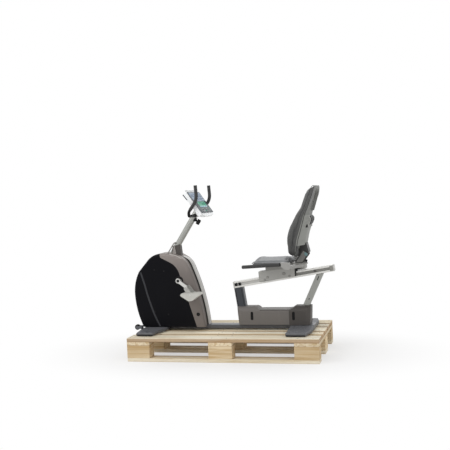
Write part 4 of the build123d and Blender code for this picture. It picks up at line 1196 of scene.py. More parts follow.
# -------------------------------------------------------------------------- housing
@dataclass
class Housing(Assembly):
    """Covers round the flywheel and the crank.

    The groove shade and the crown give how far the spine's face is lifted at distances from its middle; the groove
    shade is a black band a little wider than the crown that shows as a dark groove beside it, painted shade.
    """

    coats: tuple = (
        ("housing_front_cover", COVER_PLASTIC, 5.0, 3),
        ("side_cover_left", COVER_PLASTIC, 3.0, 3),
        ("side_cover_right", COVER_PLASTIC, 3.0, 3),
        ("rear_band_left", BAND_PLASTIC, 3.0, 3),
        ("rear_band_right", BAND_PLASTIC, 3.0, 3),
        ("flywheel", FLYWHEEL_IRON, 2.0),
        ("power_inlet", BLACK_PLASTIC, 0.8),
    )
    half_width: float = 100.0
    crank: tuple = (-401.0, 393.0)
    inlet: tuple = (-257.0, 130.0)
    inlet_radius: float = 12.5
    front_seam: tuple = ((-715, 462), (-707, 435), (-684, 360), (-668, 290), (-640, 200), (-605, 100), (-572, 35))
    lip_radius: float = 11.0
    lip_rise: float = 2.8
    rear_seam: tuple = (
        (-546, 578), (-545, 574), (-545, 574), (-498, 550), (-452, 526), (-424, 502),
        (-407, 470), (-393, 435), (-393, 435), (-330, 225), (-272, 33),
    )
    brow: tuple = ((-468, 597), (-430, 592), (-392, 574), (-362, 549), (-338, 520))
    groove_shade: tuple = ((10.0, 0), (10.0, 32), (1.0, 34))
    crown: tuple = ((20.0, 0), (19.3, 10), (17.0, 20), (13.5, 27), (10.5, 30))
    spine_top: float = 585.0
    cap_places: tuple = ((-600, 480), (-500, 130), (-610, 150), (-520, 470))

    @staticmethod
    def sliced(shape: Shape, y: float, side: int = 0) -> None:
        """Cut a shape square to the bike's width.

        Args:
            shape: The shape.
            y: Where the cut goes.
            side: Side whose far part is taken off and closed, or 0 to keep both.
        """
        mesh = shape.mesh
        cut = bmesh.ops.bisect_plane(
            mesh,
            geom=mesh.verts[:] + mesh.edges[:] + mesh.faces[:],
            dist=0.01,
            plane_co=(0, y, 0),
            plane_no=(0, side or 1, 0),
            clear_outer=bool(side),
        )["geom_cut"]
        rim = [item for item in cut if isinstance(item, bmesh.types.BMEdge) and item.is_boundary]
        if side and rim:
            bmesh.ops.contextual_create(mesh, geom=rim)

    def raised(self, rise: Sequence[Point]) -> Shape:
        """The strip down the spine with its outer face lifted.

        Args:
            rise: How far the face is lifted at distances from the middle; the last is the shape's edge.

        Returns:
            The lifted shape.
        """
        shape = Shape.of_node("spine_strip")
        for place in sorted({side * out for _, out in rise for side in (-1, 1)}):
            self.sliced(shape, place)
        for side in (-1, 1):
            self.sliced(shape, side * float(rise[-1][1]), side)
        bmesh.ops.recalc_face_normals(shape.mesh, faces=shape.mesh.faces)
        lifts = {}
        for face in shape.mesh.faces:
            if face.normal.x > 0.05 and face.normal.z > -0.3 and abs(face.normal.y) < 0.5:
                for vertex in face.verts:
                    lifts.setdefault(vertex, Vector()).xz += face.normal.xz
        for vertex, way in lifts.items():
            fading = held((self.spine_top - vertex.co.z) / 45.0, 0.15)
            vertex.co += way.normalized() * reading(rise, abs(vertex.co.y)) * fading
        return shape

    def build(self) -> None:
        """Make the covers, their seams and fixings."""
        super().build()
        cover, face = "side_cover_left", -self.half_width
        seams = Shape.tube([(x, face + 2.2, z) for x, z in self.rear_seam], 2.4)
        seams.both_sides().piece("cover_seams", BLACK_RUBBER, cover)
        # Raised lip along the front seam, its paler colour a painted highlight.
        sunk = face + self.lip_radius - self.lip_rise
        lip = Shape.tube([(x, sunk, z) for x, z in self.front_seam], self.lip_radius)
        lip.both_sides().piece("cover_lips", LIP_HIGHLIGHT, cover)
        # Pale bead along the housing's top edge: painted highlight.
        brow = Shape.tube([(x, face + 8.0, z) for x, z in self.brow], 3.0)
        brow.both_sides().piece("brow_highlight_beads", BROW_HIGHLIGHT, "rear_band_left")
        softened("spine_strip", BAND_PLASTIC, 3.0, 3)
        # Black band that shows as the dark groove beside the moulding: painted shade.
        self.raised(self.groove_shade).piece("spine_groove_shades", BLACK_RUBBER, "spine_strip")
        self.raised(self.crown).piece("spine_moulding", STRIP_PLASTIC, "spine_strip")
        caps = Shape()
        for place in self.cap_places:
            caps.add(Shape.plug(place, face + 2.0, face - 1.0, 7.0, 6.2, bevel=0.8))
        caps.both_sides().piece("cover_screw_caps", BLACK_PLASTIC, cover)
        collar = Shape.plug(self.crank, face + 4.0, face - 3.5, 36.0, 33.0, sides=48, bevel=1.5)
        collar.both_sides().piece("crank_collars", BLACK_PLASTIC, cover)
        turns = [math.radians(22.5 * step) for step in range(16)]
        x, z = self.inlet
        radius = self.inlet_radius
        ring = [(x + radius * math.cos(turn), face - 0.2, z + radius * math.sin(turn)) for turn in turns]
        socket = Shape.tube(ring, 1.6, closed=True)
        socket.add(Shape.plug(self.inlet, face + 8.0, face + 1.5, 1.6, sides=12))
        socket.piece("inlet_ring", BLACK_RUBBER, "power_inlet")


# ------------------------------------------------------------------ crank and pedals
@dataclass
class Drive(Assembly):
    """Cranks, pedals and straps; pedals gives each one's side, x and z."""

    coats: tuple = (("crank_bearing", BRIGHT_STEEL, 1.0), ("crank_axle", BRIGHT_STEEL, 1.0))
    crank: tuple = (-401.0, 393.0)
    pedals: tuple = (("left", -1, -273.2, 296.7), ("right", 1, -528.8, 489.3))
    arm_y: float = 126.0
    pedal_y: float = 190.0
    bolt_y: float = 234.0
    strap_y: float = 228.0
    bars: int = 7
    bar_pitch: float = 20.0

    def tread(self, x: float, y: float, z: float) -> Shape:
        """Grip bars and end stops on one pedal's upper face.

        Args:
            x: Middle of the pedal along the bike.
            y: Its middle across the bike.
            z: Its spindle's height.

        Returns:
            The tread.
        """
        tread = Shape()
        for count in range(self.bars):
            place = x + self.bar_pitch * (count - self.bars // 2)
            tread.add(Shape.block((place - 3, y - 36, z + 10), (place + 3, y + 36, z + 13.2), 1.0))
        for out in (y - 41, y + 41):
            tread.add(Shape.block((x - 66, out - 3, z + 9), (x + 68, out + 3, z + 14.5), 1.5))
        return tread

    def build(self) -> None:
        """Make the crank set's pieces."""
        super().build()
        caps = Shape.plug(self.crank, 2 - self.arm_y, -self.arm_y - 3, 12.5, 10.5, bevel=1.0)
        caps.both_sides().piece("crank_caps", BLACK_PLASTIC, "crank_arm_left")
        for name, side, x, z in self.pedals:
            pedal = f"pedal_{name}"
            softened(f"crank_arm_{name}", BRIGHT_STEEL, 3.2, 3)
            softened(pedal, PEDAL_PLASTIC, 5.0, 3)
            softened(f"pedal_strap_{name}", STRAP_RUBBER, 0.9)
            self.tread(x, side * self.pedal_y, z).piece(f"pedal_tread_{name}", PEDAL_PLASTIC, pedal)
            bolt = Shape.plug((x, z), side * self.bolt_y, side * (self.bolt_y + 3.5), 8.0, 7.0, sides=6, bevel=0.8)
            bolt.piece(f"pedal_bolt_{name}", BRIGHT_STEEL, pedal)
            strap = side * self.strap_y
            buckle = Shape.block((x - 20, strap - 3, z - 6), (x + 22, strap + 10, z + 8), 2.0)
            buckle.piece(f"strap_buckle_{name}", PEDAL_PLASTIC, pedal)


# ------------------------------------------------------------------ mast and handlebar
@dataclass
class Mast(Assembly):
    """Leaning mast with its boot, hoop, clamp and knob.

    collar, saddle and saddle_pin are given in the mast's own frame.
    """

    foot: tuple = (-400.0, 709.0)
    lean: float = 33.4
    hoop_lean: float = 0.14
    hoop_foot: float = 592.0
    boot_gusset: tuple = ((-473, 592), (-454, 657), (-445, 659), (-437, 592))
    gusset_y: tuple = (27.0, 30.5)
    collar: tuple = ((0, 0, -62), (0, 0, -48), 28.0, 25.5, 40, 1.5)
    saddle: tuple = ((12, -20, 178), (29, 20, 206), 4.0, 3)
    saddle_pin: tuple = ((26, 0, 190), (44, 0, 190), 9.0, 7.0)

    def frame(self) -> Matrix:
        """Frame across the mast's foot; z runs up the mast."""
        along, up = (turn(math.radians(self.lean)) for turn in (math.sin, math.cos))
        return axes((self.foot[0], 0, self.foot[1]), (up, 0, -along), (along, 0, up))

    def build(self) -> None:
        """Make the mast's pieces."""
        softened("mast", MAST_SILVER, 0.0)
        softened("mast_boot", BOOT_PLASTIC, 2.5, 3)
        sheared = Matrix.Translation((-self.hoop_lean * self.hoop_foot, 0, 0))
        sheared[0][2] = self.hoop_lean
        hoop = Shape.of_node("front_hoop").moved(sheared)
        hoop.piece("front_hoop_dressed", HOOP_STEEL, "front_hoop", ("front_hoop",))
        softened("handlebar_clamp", BLACK_PLASTIC, 1.2)
        softened("clamp_knob", BLACK_PLASTIC, 2.0, 3)
        gusset = Shape.prism(self.boot_gusset, *self.gusset_y, bevel=1.2).both_sides()
        gusset.piece("boot_gussets", GUSSET_PLASTIC, "mast_boot")
        collar = Shape.rod(*self.collar).moved(self.frame())
        collar.piece("mast_collar", MAST_SILVER, "mast_boot")
        saddle = Shape.block(*self.saddle).add(Shape.rod(*self.saddle_pin)).moved(self.frame())
        saddle.piece("clamp_saddle", BLACK_PLASTIC, "handlebar_clamp")


@dataclass
class Handlebar(Assembly):
    """Bent tube with foam grips."""

    coats: tuple = (("handlebar_tube", BLACK_PLASTIC, 0.0), ("handlebar_grips", BAR_FOAM, 2.0, 3))


# -------------------------------------------------------------------------- console
@dataclass
class Console(Assembly):
    """Display housing with its face, keys and book rack.

    Places on the face are given down it and across it; lcd is the window's two ends and two sides.
    """

    coats: tuple = (
        ("console_body", CONSOLE_PLASTIC, 2.4, 3),
        ("console_face", OVERLAY_FILM, 0.8),
        ("console_rack", RACK_PLASTIC, 0.9),
    )
    top: tuple = (-287.0, 1074.0)
    down: tuple = (0.5648, -0.8252)
    skin: float = 3.0
    lcd: tuple = (96.0, 148.0, -92.0, 108.0)
    digits: tuple = ("12", "30", "5", "84")
    digit_size: tuple = (27.0, 15.0)
    stroke: float = 3.0
    key_rows: tuple = (158.0, 177.0)
    key_columns: int = 7
    key_start: float = -125.0
    key_pitch: float = 38.0
    key_size: tuple = (10.0, 21.0)
    accents: tuple = ((1, 3), (0, 6))
    bar_heights: tuple = (8, 14, 20, 26, 20, 14, 8, 18, 28, 18, 8, 22, 12, 22, 12, 22, 10, 16, 24, 30, 24, 12)
    bar_start: float = -130.0
    bar_pitch: float = 12.0
    bar_width: float = 7.0
    bar_foot: float = 50.0
    bar_base: tuple = (66.0, 72.0)
    # Dark strip along the back edge of each side of the console: painted shadow of a gap.
    shade_strip: tuple = ((-320, 1053), (-286, 1011), (-279, 1015), (-312, 1056))
    shade_strip_y: tuple = (156.0, 162.6)
    screws: tuple = ((-297, 1026), (-222, 917))
    screw_y: float = 130.0

    def face(self) -> Matrix:
        """Frame of the face: x runs down it, y to the rider's right, z off it."""
        down = (self.down[0], 0, self.down[1])
        return axes((self.top[0], 0, self.top[1]), down, (-self.down[1], 0, self.down[0]))

    def plate(self, u: Point, y: Point, rise: float, corner: float = 4.0, depth: float = 0.6) -> Shape:
        """Rounded plate on the face.

        Args:
            u: Where it starts and ends down the face.
            y: Where it starts and ends across the bike.
            rise: Height of its top over the face's skin.
            corner: Radius of its corners.
            depth: Its thickness.

        Returns:
            The plate.
        """
        outline = rounded((u[0], y[0]), (u[1], y[1]), corner, 6)
        top = self.skin + rise
        return Shape.prism(outline, top - depth, top, self.face(), bevel=min(0.25, depth / 3))

    def digit(self, number: str, u: float, y: float) -> Shape:
        """One seven-segment figure.

        Args:
            number: The figure.
            u: Its upper edge down the face.
            y: Its left edge across the bike.

        Returns:
            The lit segments.
        """
        lit = {"0": "abcdef", "1": "bc", "2": "abged", "3": "abgcd", "4": "fgbc", "5": "afgcd", "8": "abcdefg"}
        high, wide = self.digit_size
        half, bar = high / 2, self.stroke
        boxes = {
            "a": (0, bar, 0, wide),
            "g": (half - bar / 2, half + bar / 2, 0, wide),
            "d": (high - bar, high, 0, wide),
            "f": (0, half, 0, bar),
            "b": (0, half, wide - bar, wide),
            "e": (half, high, 0, bar),
            "c": (half, high, wide - bar, wide),
        }
        shape = Shape()
        for name in lit[number]:
            u0, u1, y0, y1 = boxes[name]
            low = (u + u0 + 0.5, y + y0 + 0.5, self.skin + 1.0)
            far = (u + u1 - 0.5, y + y1 - 0.5, self.skin + 1.5)
            shape.add(Shape.block(low, far, 0.2, 1).moved(self.face()))
        return shape

    def display(self) -> None:
        """Make the face's window and its figures."""
        start, end, near, far = self.lcd
        for name, finish, u, y, rise, corner in (
            ("overlay_panel", PANEL_FILM, (9, 92), (-146, 146), 0.5, 10.0),
            ("lcd_bezel", KEYPAD_FILM, (start - 5, end + 4), (near - 8, far + 8), 0.6, 20.0),
            ("lcd_window", LCD_GREEN, (start, end - 12), (near, far), 1.0, 19.0),
            ("lcd_lower", LCD_BLUE, (end - 20, end), (near + 8, far - 8), 0.9, 9.0),
        ):
            self.plate(u, y, rise, corner).piece(name, finish, "console_face")
        figures = Shape()
        y = near + 14.0
        for group in self.digits:
            for number in group:
                figures.add(self.digit(number, start + 5, y))
                y += self.digit_size[1] + 4
            y += 12.0
        figures.piece("lcd_figures", LCD_INK, "console_face")

    def build(self) -> None:
        """Make the console's pieces."""
        super().build()
        self.display()
        keys, accents, bars = Shape(), Shape(), Shape()
        high, wide = self.key_size
        for row, u in enumerate(self.key_rows):
            for column in range(self.key_columns):
                y = self.key_start + self.key_pitch * column
                key = self.plate((u, u + high), (y, y + wide), 1.6, 4.0, 1.6)
                (accents if (row, column) in self.accents else keys).add(key)
        for count, height in enumerate(self.bar_heights):
            y = self.bar_start + self.bar_pitch * count
            for ends in ((self.bar_foot - height, self.bar_foot), self.bar_base):
                bars.add(self.plate(ends, (y, y + self.bar_width), 0.9, 1.0))
        keys.piece("console_keys", KEY_FILM, "console_face")
        accents.piece("console_accent_keys", KEY_ACCENT, "console_face")
        bars.piece("program_bars", BAR_INK, "console_face")
        # Dark strip along the back edge of the console's sides: painted shadow of a gap.
        shade_strip = Shape.prism(self.shade_strip, *self.shade_strip_y, bevel=0.8)
        shade_strip.both_sides().piece("console_shade_strip", KEYPAD_FILM, "console_body")
        screws = Shape()
        for x, z in self.screws:
            for y in (-self.screw_y, self.screw_y):
                screws.add(Shape.rod((x + 3, y, z + 2), (x - 2.4, y, z - 1.7), 5.0, 4.4, sides=16))
        screws.piece("console_screws", BLACK_PLASTIC, "console_body")


# ---------------------------------------------------------------------- rail and legs
@dataclass
class SeatRail(Assembly):
    """Sloping rail, its end caps and the two legs."""

    coats: tuple = (
        ("rail", RAIL_METAL, 2.0, 3),
        ("rail_end_caps", STRIP_PLASTIC, 1.5),
        ("front_post", POST_STEEL, 4.0, 3),
        ("rear_strut", STRUT_SILVER, 5.0, 3),
    )
    start: tuple = (17.0, 319.0)
    slope: float = 8.7
    end: float = 790.0
    half_width: float = 30.0
    oval: tuple = (24.5, 17.0, 19.0)
    # Block beside the rail's end plate whose grey is the plate's crescent shadow: painted shadow.
    plug: tuple = ((754, -31.6, 4), (780, -24, 45), 7.0, 4)
    grooves: tuple = (("front", LIT_GROOVE, 12, 330), ("rear", SHADED_GROOVE, 330, 778))
    groove_y: tuple = (-22.6, -20.5)
    groove_z: tuple = (14.4, 34.6)
    bolt: tuple = (644.0, 28.0, 11.0, 4.0)
    stops: tuple = (16.0, 44.0)
    stop_length: float = 17.0
    post_lean: float = 0.136
    post_lines: tuple = (113.0, 66.0)
    line_ends: tuple = (184.0, 312.0)
    line_width: float = 3.0
    post_foot: float = 40.0
    strut_lean: float = 0.4737
    strut_foot: tuple = (505.0, 40.0)
    strut_slots: tuple = ((372.0, 402.0), (226.0, 236.0))

    def frame(self) -> Matrix:
        """Frame of the rail: x runs up it, y to the rider's right, z off its top."""
        along, up = (turn(math.radians(self.slope)) for turn in (math.cos, math.sin))
        return axes((self.start[0], 0, self.start[1]), (along, 0, up), (-up, 0, along))

    def fitted(self, shape: Shape, name: str, finish: Finish, beside: str = "rail_end_caps") -> None:
        """Carry a shape from the rail's frame and make a piece of it and its mirror image."""
        shape.moved(self.frame()).both_sides().piece(name, finish, beside)

    def build(self) -> None:
        """Make the rail's pieces."""
        super().build()
        middle, high, wide = self.oval
        turns = [math.pi * step / 12 for step in range(24)]
        oval = [(middle + high * math.sin(turn), -wide * math.cos(turn)) for turn in turns]
        across = self.frame() @ axes((self.end - 1.0, 0, 0), (0, 0, 1), (1, 0, 0))
        plate = Shape.prism(oval, 0.0, 2.2, across, bevel=0.7)
        plate.piece("rail_end_plate", RAIL_METAL, "rail_end_caps")
        self.fitted(Shape.block(*self.plug), "rail_end_shadows", CRESCENT_SHADOW)
        # The rear inlay's darker colour is the seat's painted shadow.
        for name, finish, *ends in self.grooves:
            low, high = zip(ends, self.groove_y, self.groove_z)
            self.fitted(Shape.block(low, high, 0.4), f"rail_groove_{name}", finish, "rail")
        along, up, radius, rise = self.bolt
        near, far = 8 - self.half_width, -self.half_width - rise
        head = Shape.plug((along, up), near, far, radius, radius * 0.7, sides=24, bevel=rise / 3)
        self.fitted(head, "rail_bolts", BOOT_PLASTIC)
        stops, lines, slots = Shape(), Shape(), Shape()
        for along in self.stops:
            stops.add(Shape.block((along, -36.5, 13), (along + self.stop_length, -24, 37), 2.5, 3))
        self.fitted(stops, "rail_stops", BLACK_PLASTIC)
        bottom, top = self.line_ends
        for x in self.post_lines:
            low, high = (x - self.post_lean * (z - self.post_foot) for z in self.line_ends)
            outline = ((low, bottom), (low + self.line_width, bottom), (high + self.line_width, top), (high, top))
            lines.add(Shape.prism(outline, 29.0, 30.6))
        lines.both_sides().piece("post_lines", BLACK_PLASTIC, "front_post")
        x, foot = self.strut_foot
        for ends in self.strut_slots:
            route = [(x + self.strut_lean * (z - foot), -17.5, z) for z in ends]
            slots.add(Shape.tube(route, 4.2, smooth=False))
        slots.both_sides().piece("strut_slots", BLACK_PLASTIC, "rear_strut")


@dataclass
class Shroud(Assembly):
    """Two-part cover round the feet of the legs; slots gives each slot's x, z and face."""

    coats: tuple = (("shroud_front", SHROUD_PLASTIC, 3.0, 3), ("shroud_rear", SHROUD_DARK, 2.5, 3))
    slots: tuple = ((160.0, 111.0, 68.0), (480.0, 111.0, 71.0))
    slot_half: float = 22.0
    slot_radius: float = 9.0
    # Black strips along the shroud's top recess and along its foot over the beam: painted shade.
    shade_strips: tuple = (((222, -66.0, 152.5), (452, -55, 157.2), 1.2), ((60, -69.2, 40.0), (440, -62, 43.0), 0.9))

    def build(self) -> None:
        """Make the shroud's pieces."""
        super().build()
        liners, rims = Shape(), Shape()
        radius = self.slot_radius
        for x, z, out in self.slots:
            ring = []
            for turn in (math.pi * (step + 0.5) / 8 for step in range(16)):
                end = z + math.copysign(self.slot_half, math.sin(turn))
                ring.append((x + radius * math.cos(turn), end + radius * math.sin(turn)))
            liners.add(Shape.prism(ring, out - 8, out - 2.5))
            rims.add(Shape.tube([(a, -out - 0.2, b) for a, b in ring], 1.3, closed=True, smooth=False))
        liners.both_sides().piece("slot_liners", BLACK_PLASTIC, "shroud_front")
        rims.both_sides().piece("slot_rims", BLACK_PLASTIC, "shroud_front")
        # Black strips where the shroud's recess and foot fall in shade: painted shade.
        shade_strip = Shape().add(*(Shape.block(*row) for row in self.shade_strips))
        shade_strip.both_sides().piece("shroud_shade_strips", BLACK_RUBBER, "shroud_front")


# --------------------------------------------------------------------- seat carriage
@dataclass
class Carriage(Assembly):
    """Sliding carriage with the seat frame, side handles and recline bracket."""

    coats: tuple = (
        ("carriage", CARRIAGE_STEEL, 1.6, 3),
        ("carriage_rollers", BLACK_PLASTIC, 1.0),
        ("seat_frame", SEAT_STEEL, 5.0, 3),
        ("side_handles", CAST_SILVER, 4.0, 3),
        ("side_grips", BAR_FOAM, 0.0),
        ("recline_bracket", BRACKET_STEEL, 1.6, 3),
        ("recline_knob", BLACK_PLASTIC, 1.0),
    )
    bolts: tuple = ((416.0, 427.0, 11.0), (289.0, 401.0, 9.0), (267.0, 384.0, 6.0), (458.0, 409.0, 8.0))
    bolt_rises: tuple = (2.0, -1.2, -4.5)
    plate_y: float = 42.0
    bumper: tuple = ((494, -41.0, 406), (508, -35.5, 470), 2.4, 3)
    # Black block in the gap under the seat frame's rear: painted shade.
    under_shade: tuple = ((506, 449), (578, 460), (576, 467), (506, 467))
    under_shade_half: float = 24.0
    ring: tuple = ((427, -250.0, 514.6), (438, -250.0, 515.1), 14.2)

    def build(self) -> None:
        """Make the carriage's pieces."""
        super().build()
        heads = Shape()
        for x, z, radius in self.bolts:
            foot, washer, tip = (rise - self.plate_y for rise in self.bolt_rises)
            heads.add(Shape.plug((x, z), foot, washer, radius + 3))
            heads.add(Shape.plug((x, z), foot, tip, radius, radius * 0.7, sides=24, bevel=1.2))
        heads.both_sides().piece("carriage_bolts", SEAT_STEEL, "carriage")
        Shape.block(*self.bumper).both_sides().piece("carriage_bumpers", BLACK_RUBBER, "carriage")
        # Black block that fills the shaded gap between the seat frame and the rail: painted shade.
        under_shade = Shape.prism(self.under_shade, -self.under_shade_half, self.under_shade_half, bevel=1.5)
        under_shade.piece("seat_under_shade", BLACK_RUBBER, "seat_frame")
        Shape.rod(*self.ring, bevel=1.0).both_sides().piece("grip_rings", BLACK_PLASTIC, "side_grips")


# ------------------------------------------------------------------------ upholstery
@dataclass
class Padding:
    """Foam pad in a tight cover, puffed up by a short cloth run."""

    voxel: float = 5.0
    pressure: float = 4.0
    swell: float = 7.0
    frames: int = 20
    passes: int = 4
    mass: float = 0.3

    def evened(self, shape: Shape) -> bpy.types.Mesh:
        """Mesh of a shape in even small faces.

        Args:
            shape: The shape, which is used up.

        Returns:
            The mesh, in metres in the row frame.
        """
        shape.moved(TO_ROW)
        rough = bpy.data.meshes.new("pad_rough")
        shape.mesh.to_mesh(rough)
        shape.mesh.free()
        holder = bpy.data.objects.new("pad_rough", rough)
        bpy.context.scene.collection.objects.link(holder)
        remesh = holder.modifiers.new("even", "REMESH")
        remesh.mode = "VOXEL"
        remesh.voxel_size = self.voxel / MM_PER_METRE
        graph = bpy.context.evaluated_depsgraph_get()
        mesh = bpy.data.meshes.new_from_object(holder.evaluated_get(graph))
        bpy.data.objects.remove(holder)
        bpy.data.meshes.remove(rough)
        even = bmesh.new()
        even.from_mesh(mesh)
        ways = {"use_axis_x": True, "use_axis_y": True, "use_axis_z": True}
        for _ in range(self.passes):
            bmesh.ops.smooth_vert(even, verts=even.verts, factor=0.5, **ways)
        even.to_mesh(mesh)
        even.free()
        return mesh

    def inflated(self, mesh: bpy.types.Mesh, fixed: Callable[[Vector], bool]) -> bpy.types.Mesh:
        """The mesh after its cover has been blown up a little.

        Args:
            mesh: Even mesh in metres.
            fixed: Says of a bike point whether it is fixed to the board below.

        Returns:
            The same mesh, moved.
        """
        scene = bpy.context.scene
        holder = bpy.data.objects.new("pad_cloth", mesh.copy())
        scene.collection.objects.link(holder)
        group = holder.vertex_groups.new(name="held")
        group.add([v.index for v in mesh.vertices if fixed(TO_BIKE @ v.co)], 1.0, "REPLACE")
        cloth = holder.modifiers.new("cover", "CLOTH")
        cloth.settings.quality = 4
        cloth.settings.mass = self.mass
        cloth.settings.use_pressure = True
        cloth.settings.uniform_pressure_force = self.pressure
        cloth.settings.vertex_group_mass = "held"
        cloth.settings.effector_weights.gravity = 0.0
        cloth.collision_settings.use_collision = False
        cloth.point_cache.frame_start = 1
        cloth.point_cache.frame_end = self.frames
        for number in range(1, self.frames + 1):
            scene.frame_set(number)
        blown = holder.evaluated_get(bpy.context.evaluated_depsgraph_get()).data
        limit = self.swell / MM_PER_METRE
        for vertex, moved in zip(mesh.vertices, blown.vertices):
            step = moved.co - vertex.co
            if step.length > limit:
                step = step.normalized() * limit
            vertex.co += step
        scene.frame_set(1)
        bpy.data.objects.remove(holder)
        return mesh

    def finished(self, mesh: bpy.types.Mesh, name: str, finish: Finish, node: str) -> bpy.types.Object:
        """Args:
            mesh: Its final mesh, in metres.
            name: The piece's name.
            finish: What its cover is made of.
            node: Solid that it is shown instead of.

        Returns:
            The Blender object.
        """
        for face in mesh.polygons:
            face.use_smooth = True
        piece = settle(mesh, name, finish, node, (node,))
        piece.modifiers.clear()
        smooth = piece.modifiers.new("smooth", "SUBSURF")
        smooth.levels = 1
        smooth.render_levels = 1
        return piece


def bell(away: float, width: float) -> float:
    """1 on a line and less and less away from it, over a width."""
    return math.exp(-((away / width) ** 2))


@dataclass
class Seat(Assembly):
    """Crowned seat pad on its board.

    lift gives the share of the pad's height at distances out; nose how far its front edge bows
    ahead, and the depth and half width over which that fades.
    """

    front: float = 205.0
    rear: float = 478.0
    half_width: float = 210.0
    bottom: float = 508.3
    corner: float = 40.0
    core: tuple = (0.965, 0.975, 0.9)
    lift: tuple = ((1.12, 0), (1.07, 50), (0.92, 100), (0.82, 150), (0.76, 190), (0.8, 230))
    nose: tuple = (16.0, 120.0, 200.0)
    roll: float = 34.0
    roll_share: float = 0.62
    swell_share: float = 0.07
    swell_width: float = 26.0
    seam_height: float = 521.0
    seam_width: float = 3.5
    seam_pull: float = 2.4
    seam_from: float = 0.85
    board: tuple = (503.5, 509.5)
    fixed_rise: float = 3.0

    def forward(self, point: Vector) -> float:
        """How far the pad's front edge bows ahead at a point."""
        most, depth, width = self.nose
        return most * held(1.0 - (point.x - self.front) / depth) * held(1.0 - (point.y / width) ** 2)

    def outline(self, inset: float) -> list[Vector]:
        """Rounded outline seen from above.

        Args:
            inset: How far it is moved inwards.

        Returns:
            Its points.
        """
        low = (self.front + inset, inset - self.half_width)
        high = (self.rear - inset, self.half_width - inset)
        points = rounded(low, high, self.corner - inset, 8, (1, 16, 1, 1))
        for point in points:
            point.x -= self.forward(point)
        return points

    def dished(self, mesh: bpy.types.Mesh) -> None:
        """Crown the pad across, bow its front edge ahead and roll it down.

        Args:
            mesh: The pad's even mesh, in metres.
        """
        for vertex in mesh.vertices:
            point = TO_BIKE @ vertex.co
            back = point.x - self.front
            rolled = math.sqrt(1.0 - (1.0 - held(back / self.roll)) ** 2)
            share = reading(self.lift, abs(point.y))
            share *= self.roll_share + (1.0 - self.roll_share) * rolled
            share *= 1.0 + self.swell_share * bell(back - self.roll, self.swell_width)
            vertex.co.z += (point.z - self.bottom) * (share - 1.0) / MM_PER_METRE
            vertex.co.x -= self.forward(point) / MM_PER_METRE

    def pinched(self, mesh: bpy.types.Mesh) -> None:
        """Draw the cover in along the piping.

        Args:
            mesh: The pad's mesh, in metres.
        """
        middle, half_length = (self.rear + self.front) / 2, (self.rear - self.front) / 2
        for vertex in mesh.vertices:
            point = TO_BIKE @ vertex.co
            across = Vector((point.x - middle, point.y, 0))
            if max(abs(across.x) / half_length, abs(across.y) / self.half_width) > self.seam_from:
                pull = self.seam_pull * bell(point.z - self.seam_height, self.seam_width)
                vertex.co -= across.normalized() * (pull / MM_PER_METRE)

    def build(self) -> None:
        """Make the seat pad, its piping and its board."""
        pad = Padding()
        middle = ((self.front + self.rear) / 2, 0, self.bottom)
        even = pad.evened(Shape.of_node("seat_cushion").shrunk(middle, self.core))
        self.dished(even)
        mesh = pad.inflated(even, lambda point: point.z < self.bottom + self.fixed_rise)
        self.pinched(mesh)
        pad.finished(mesh, "seat_pad", SEAT_VINYL, "seat_cushion")
        ring = [(*point, self.seam_height) for point in self.outline(1.5)]
        Shape.tube(ring, 2.2, closed=True, smooth=False).piece("seat_piping", PIPING, "seat_cushion")
        board = Shape.prism(self.outline(7.0), *self.board, Matrix(), bevel=1.6)
        board.piece("seat_board", BLACK_PLASTIC, "seat_cushion")


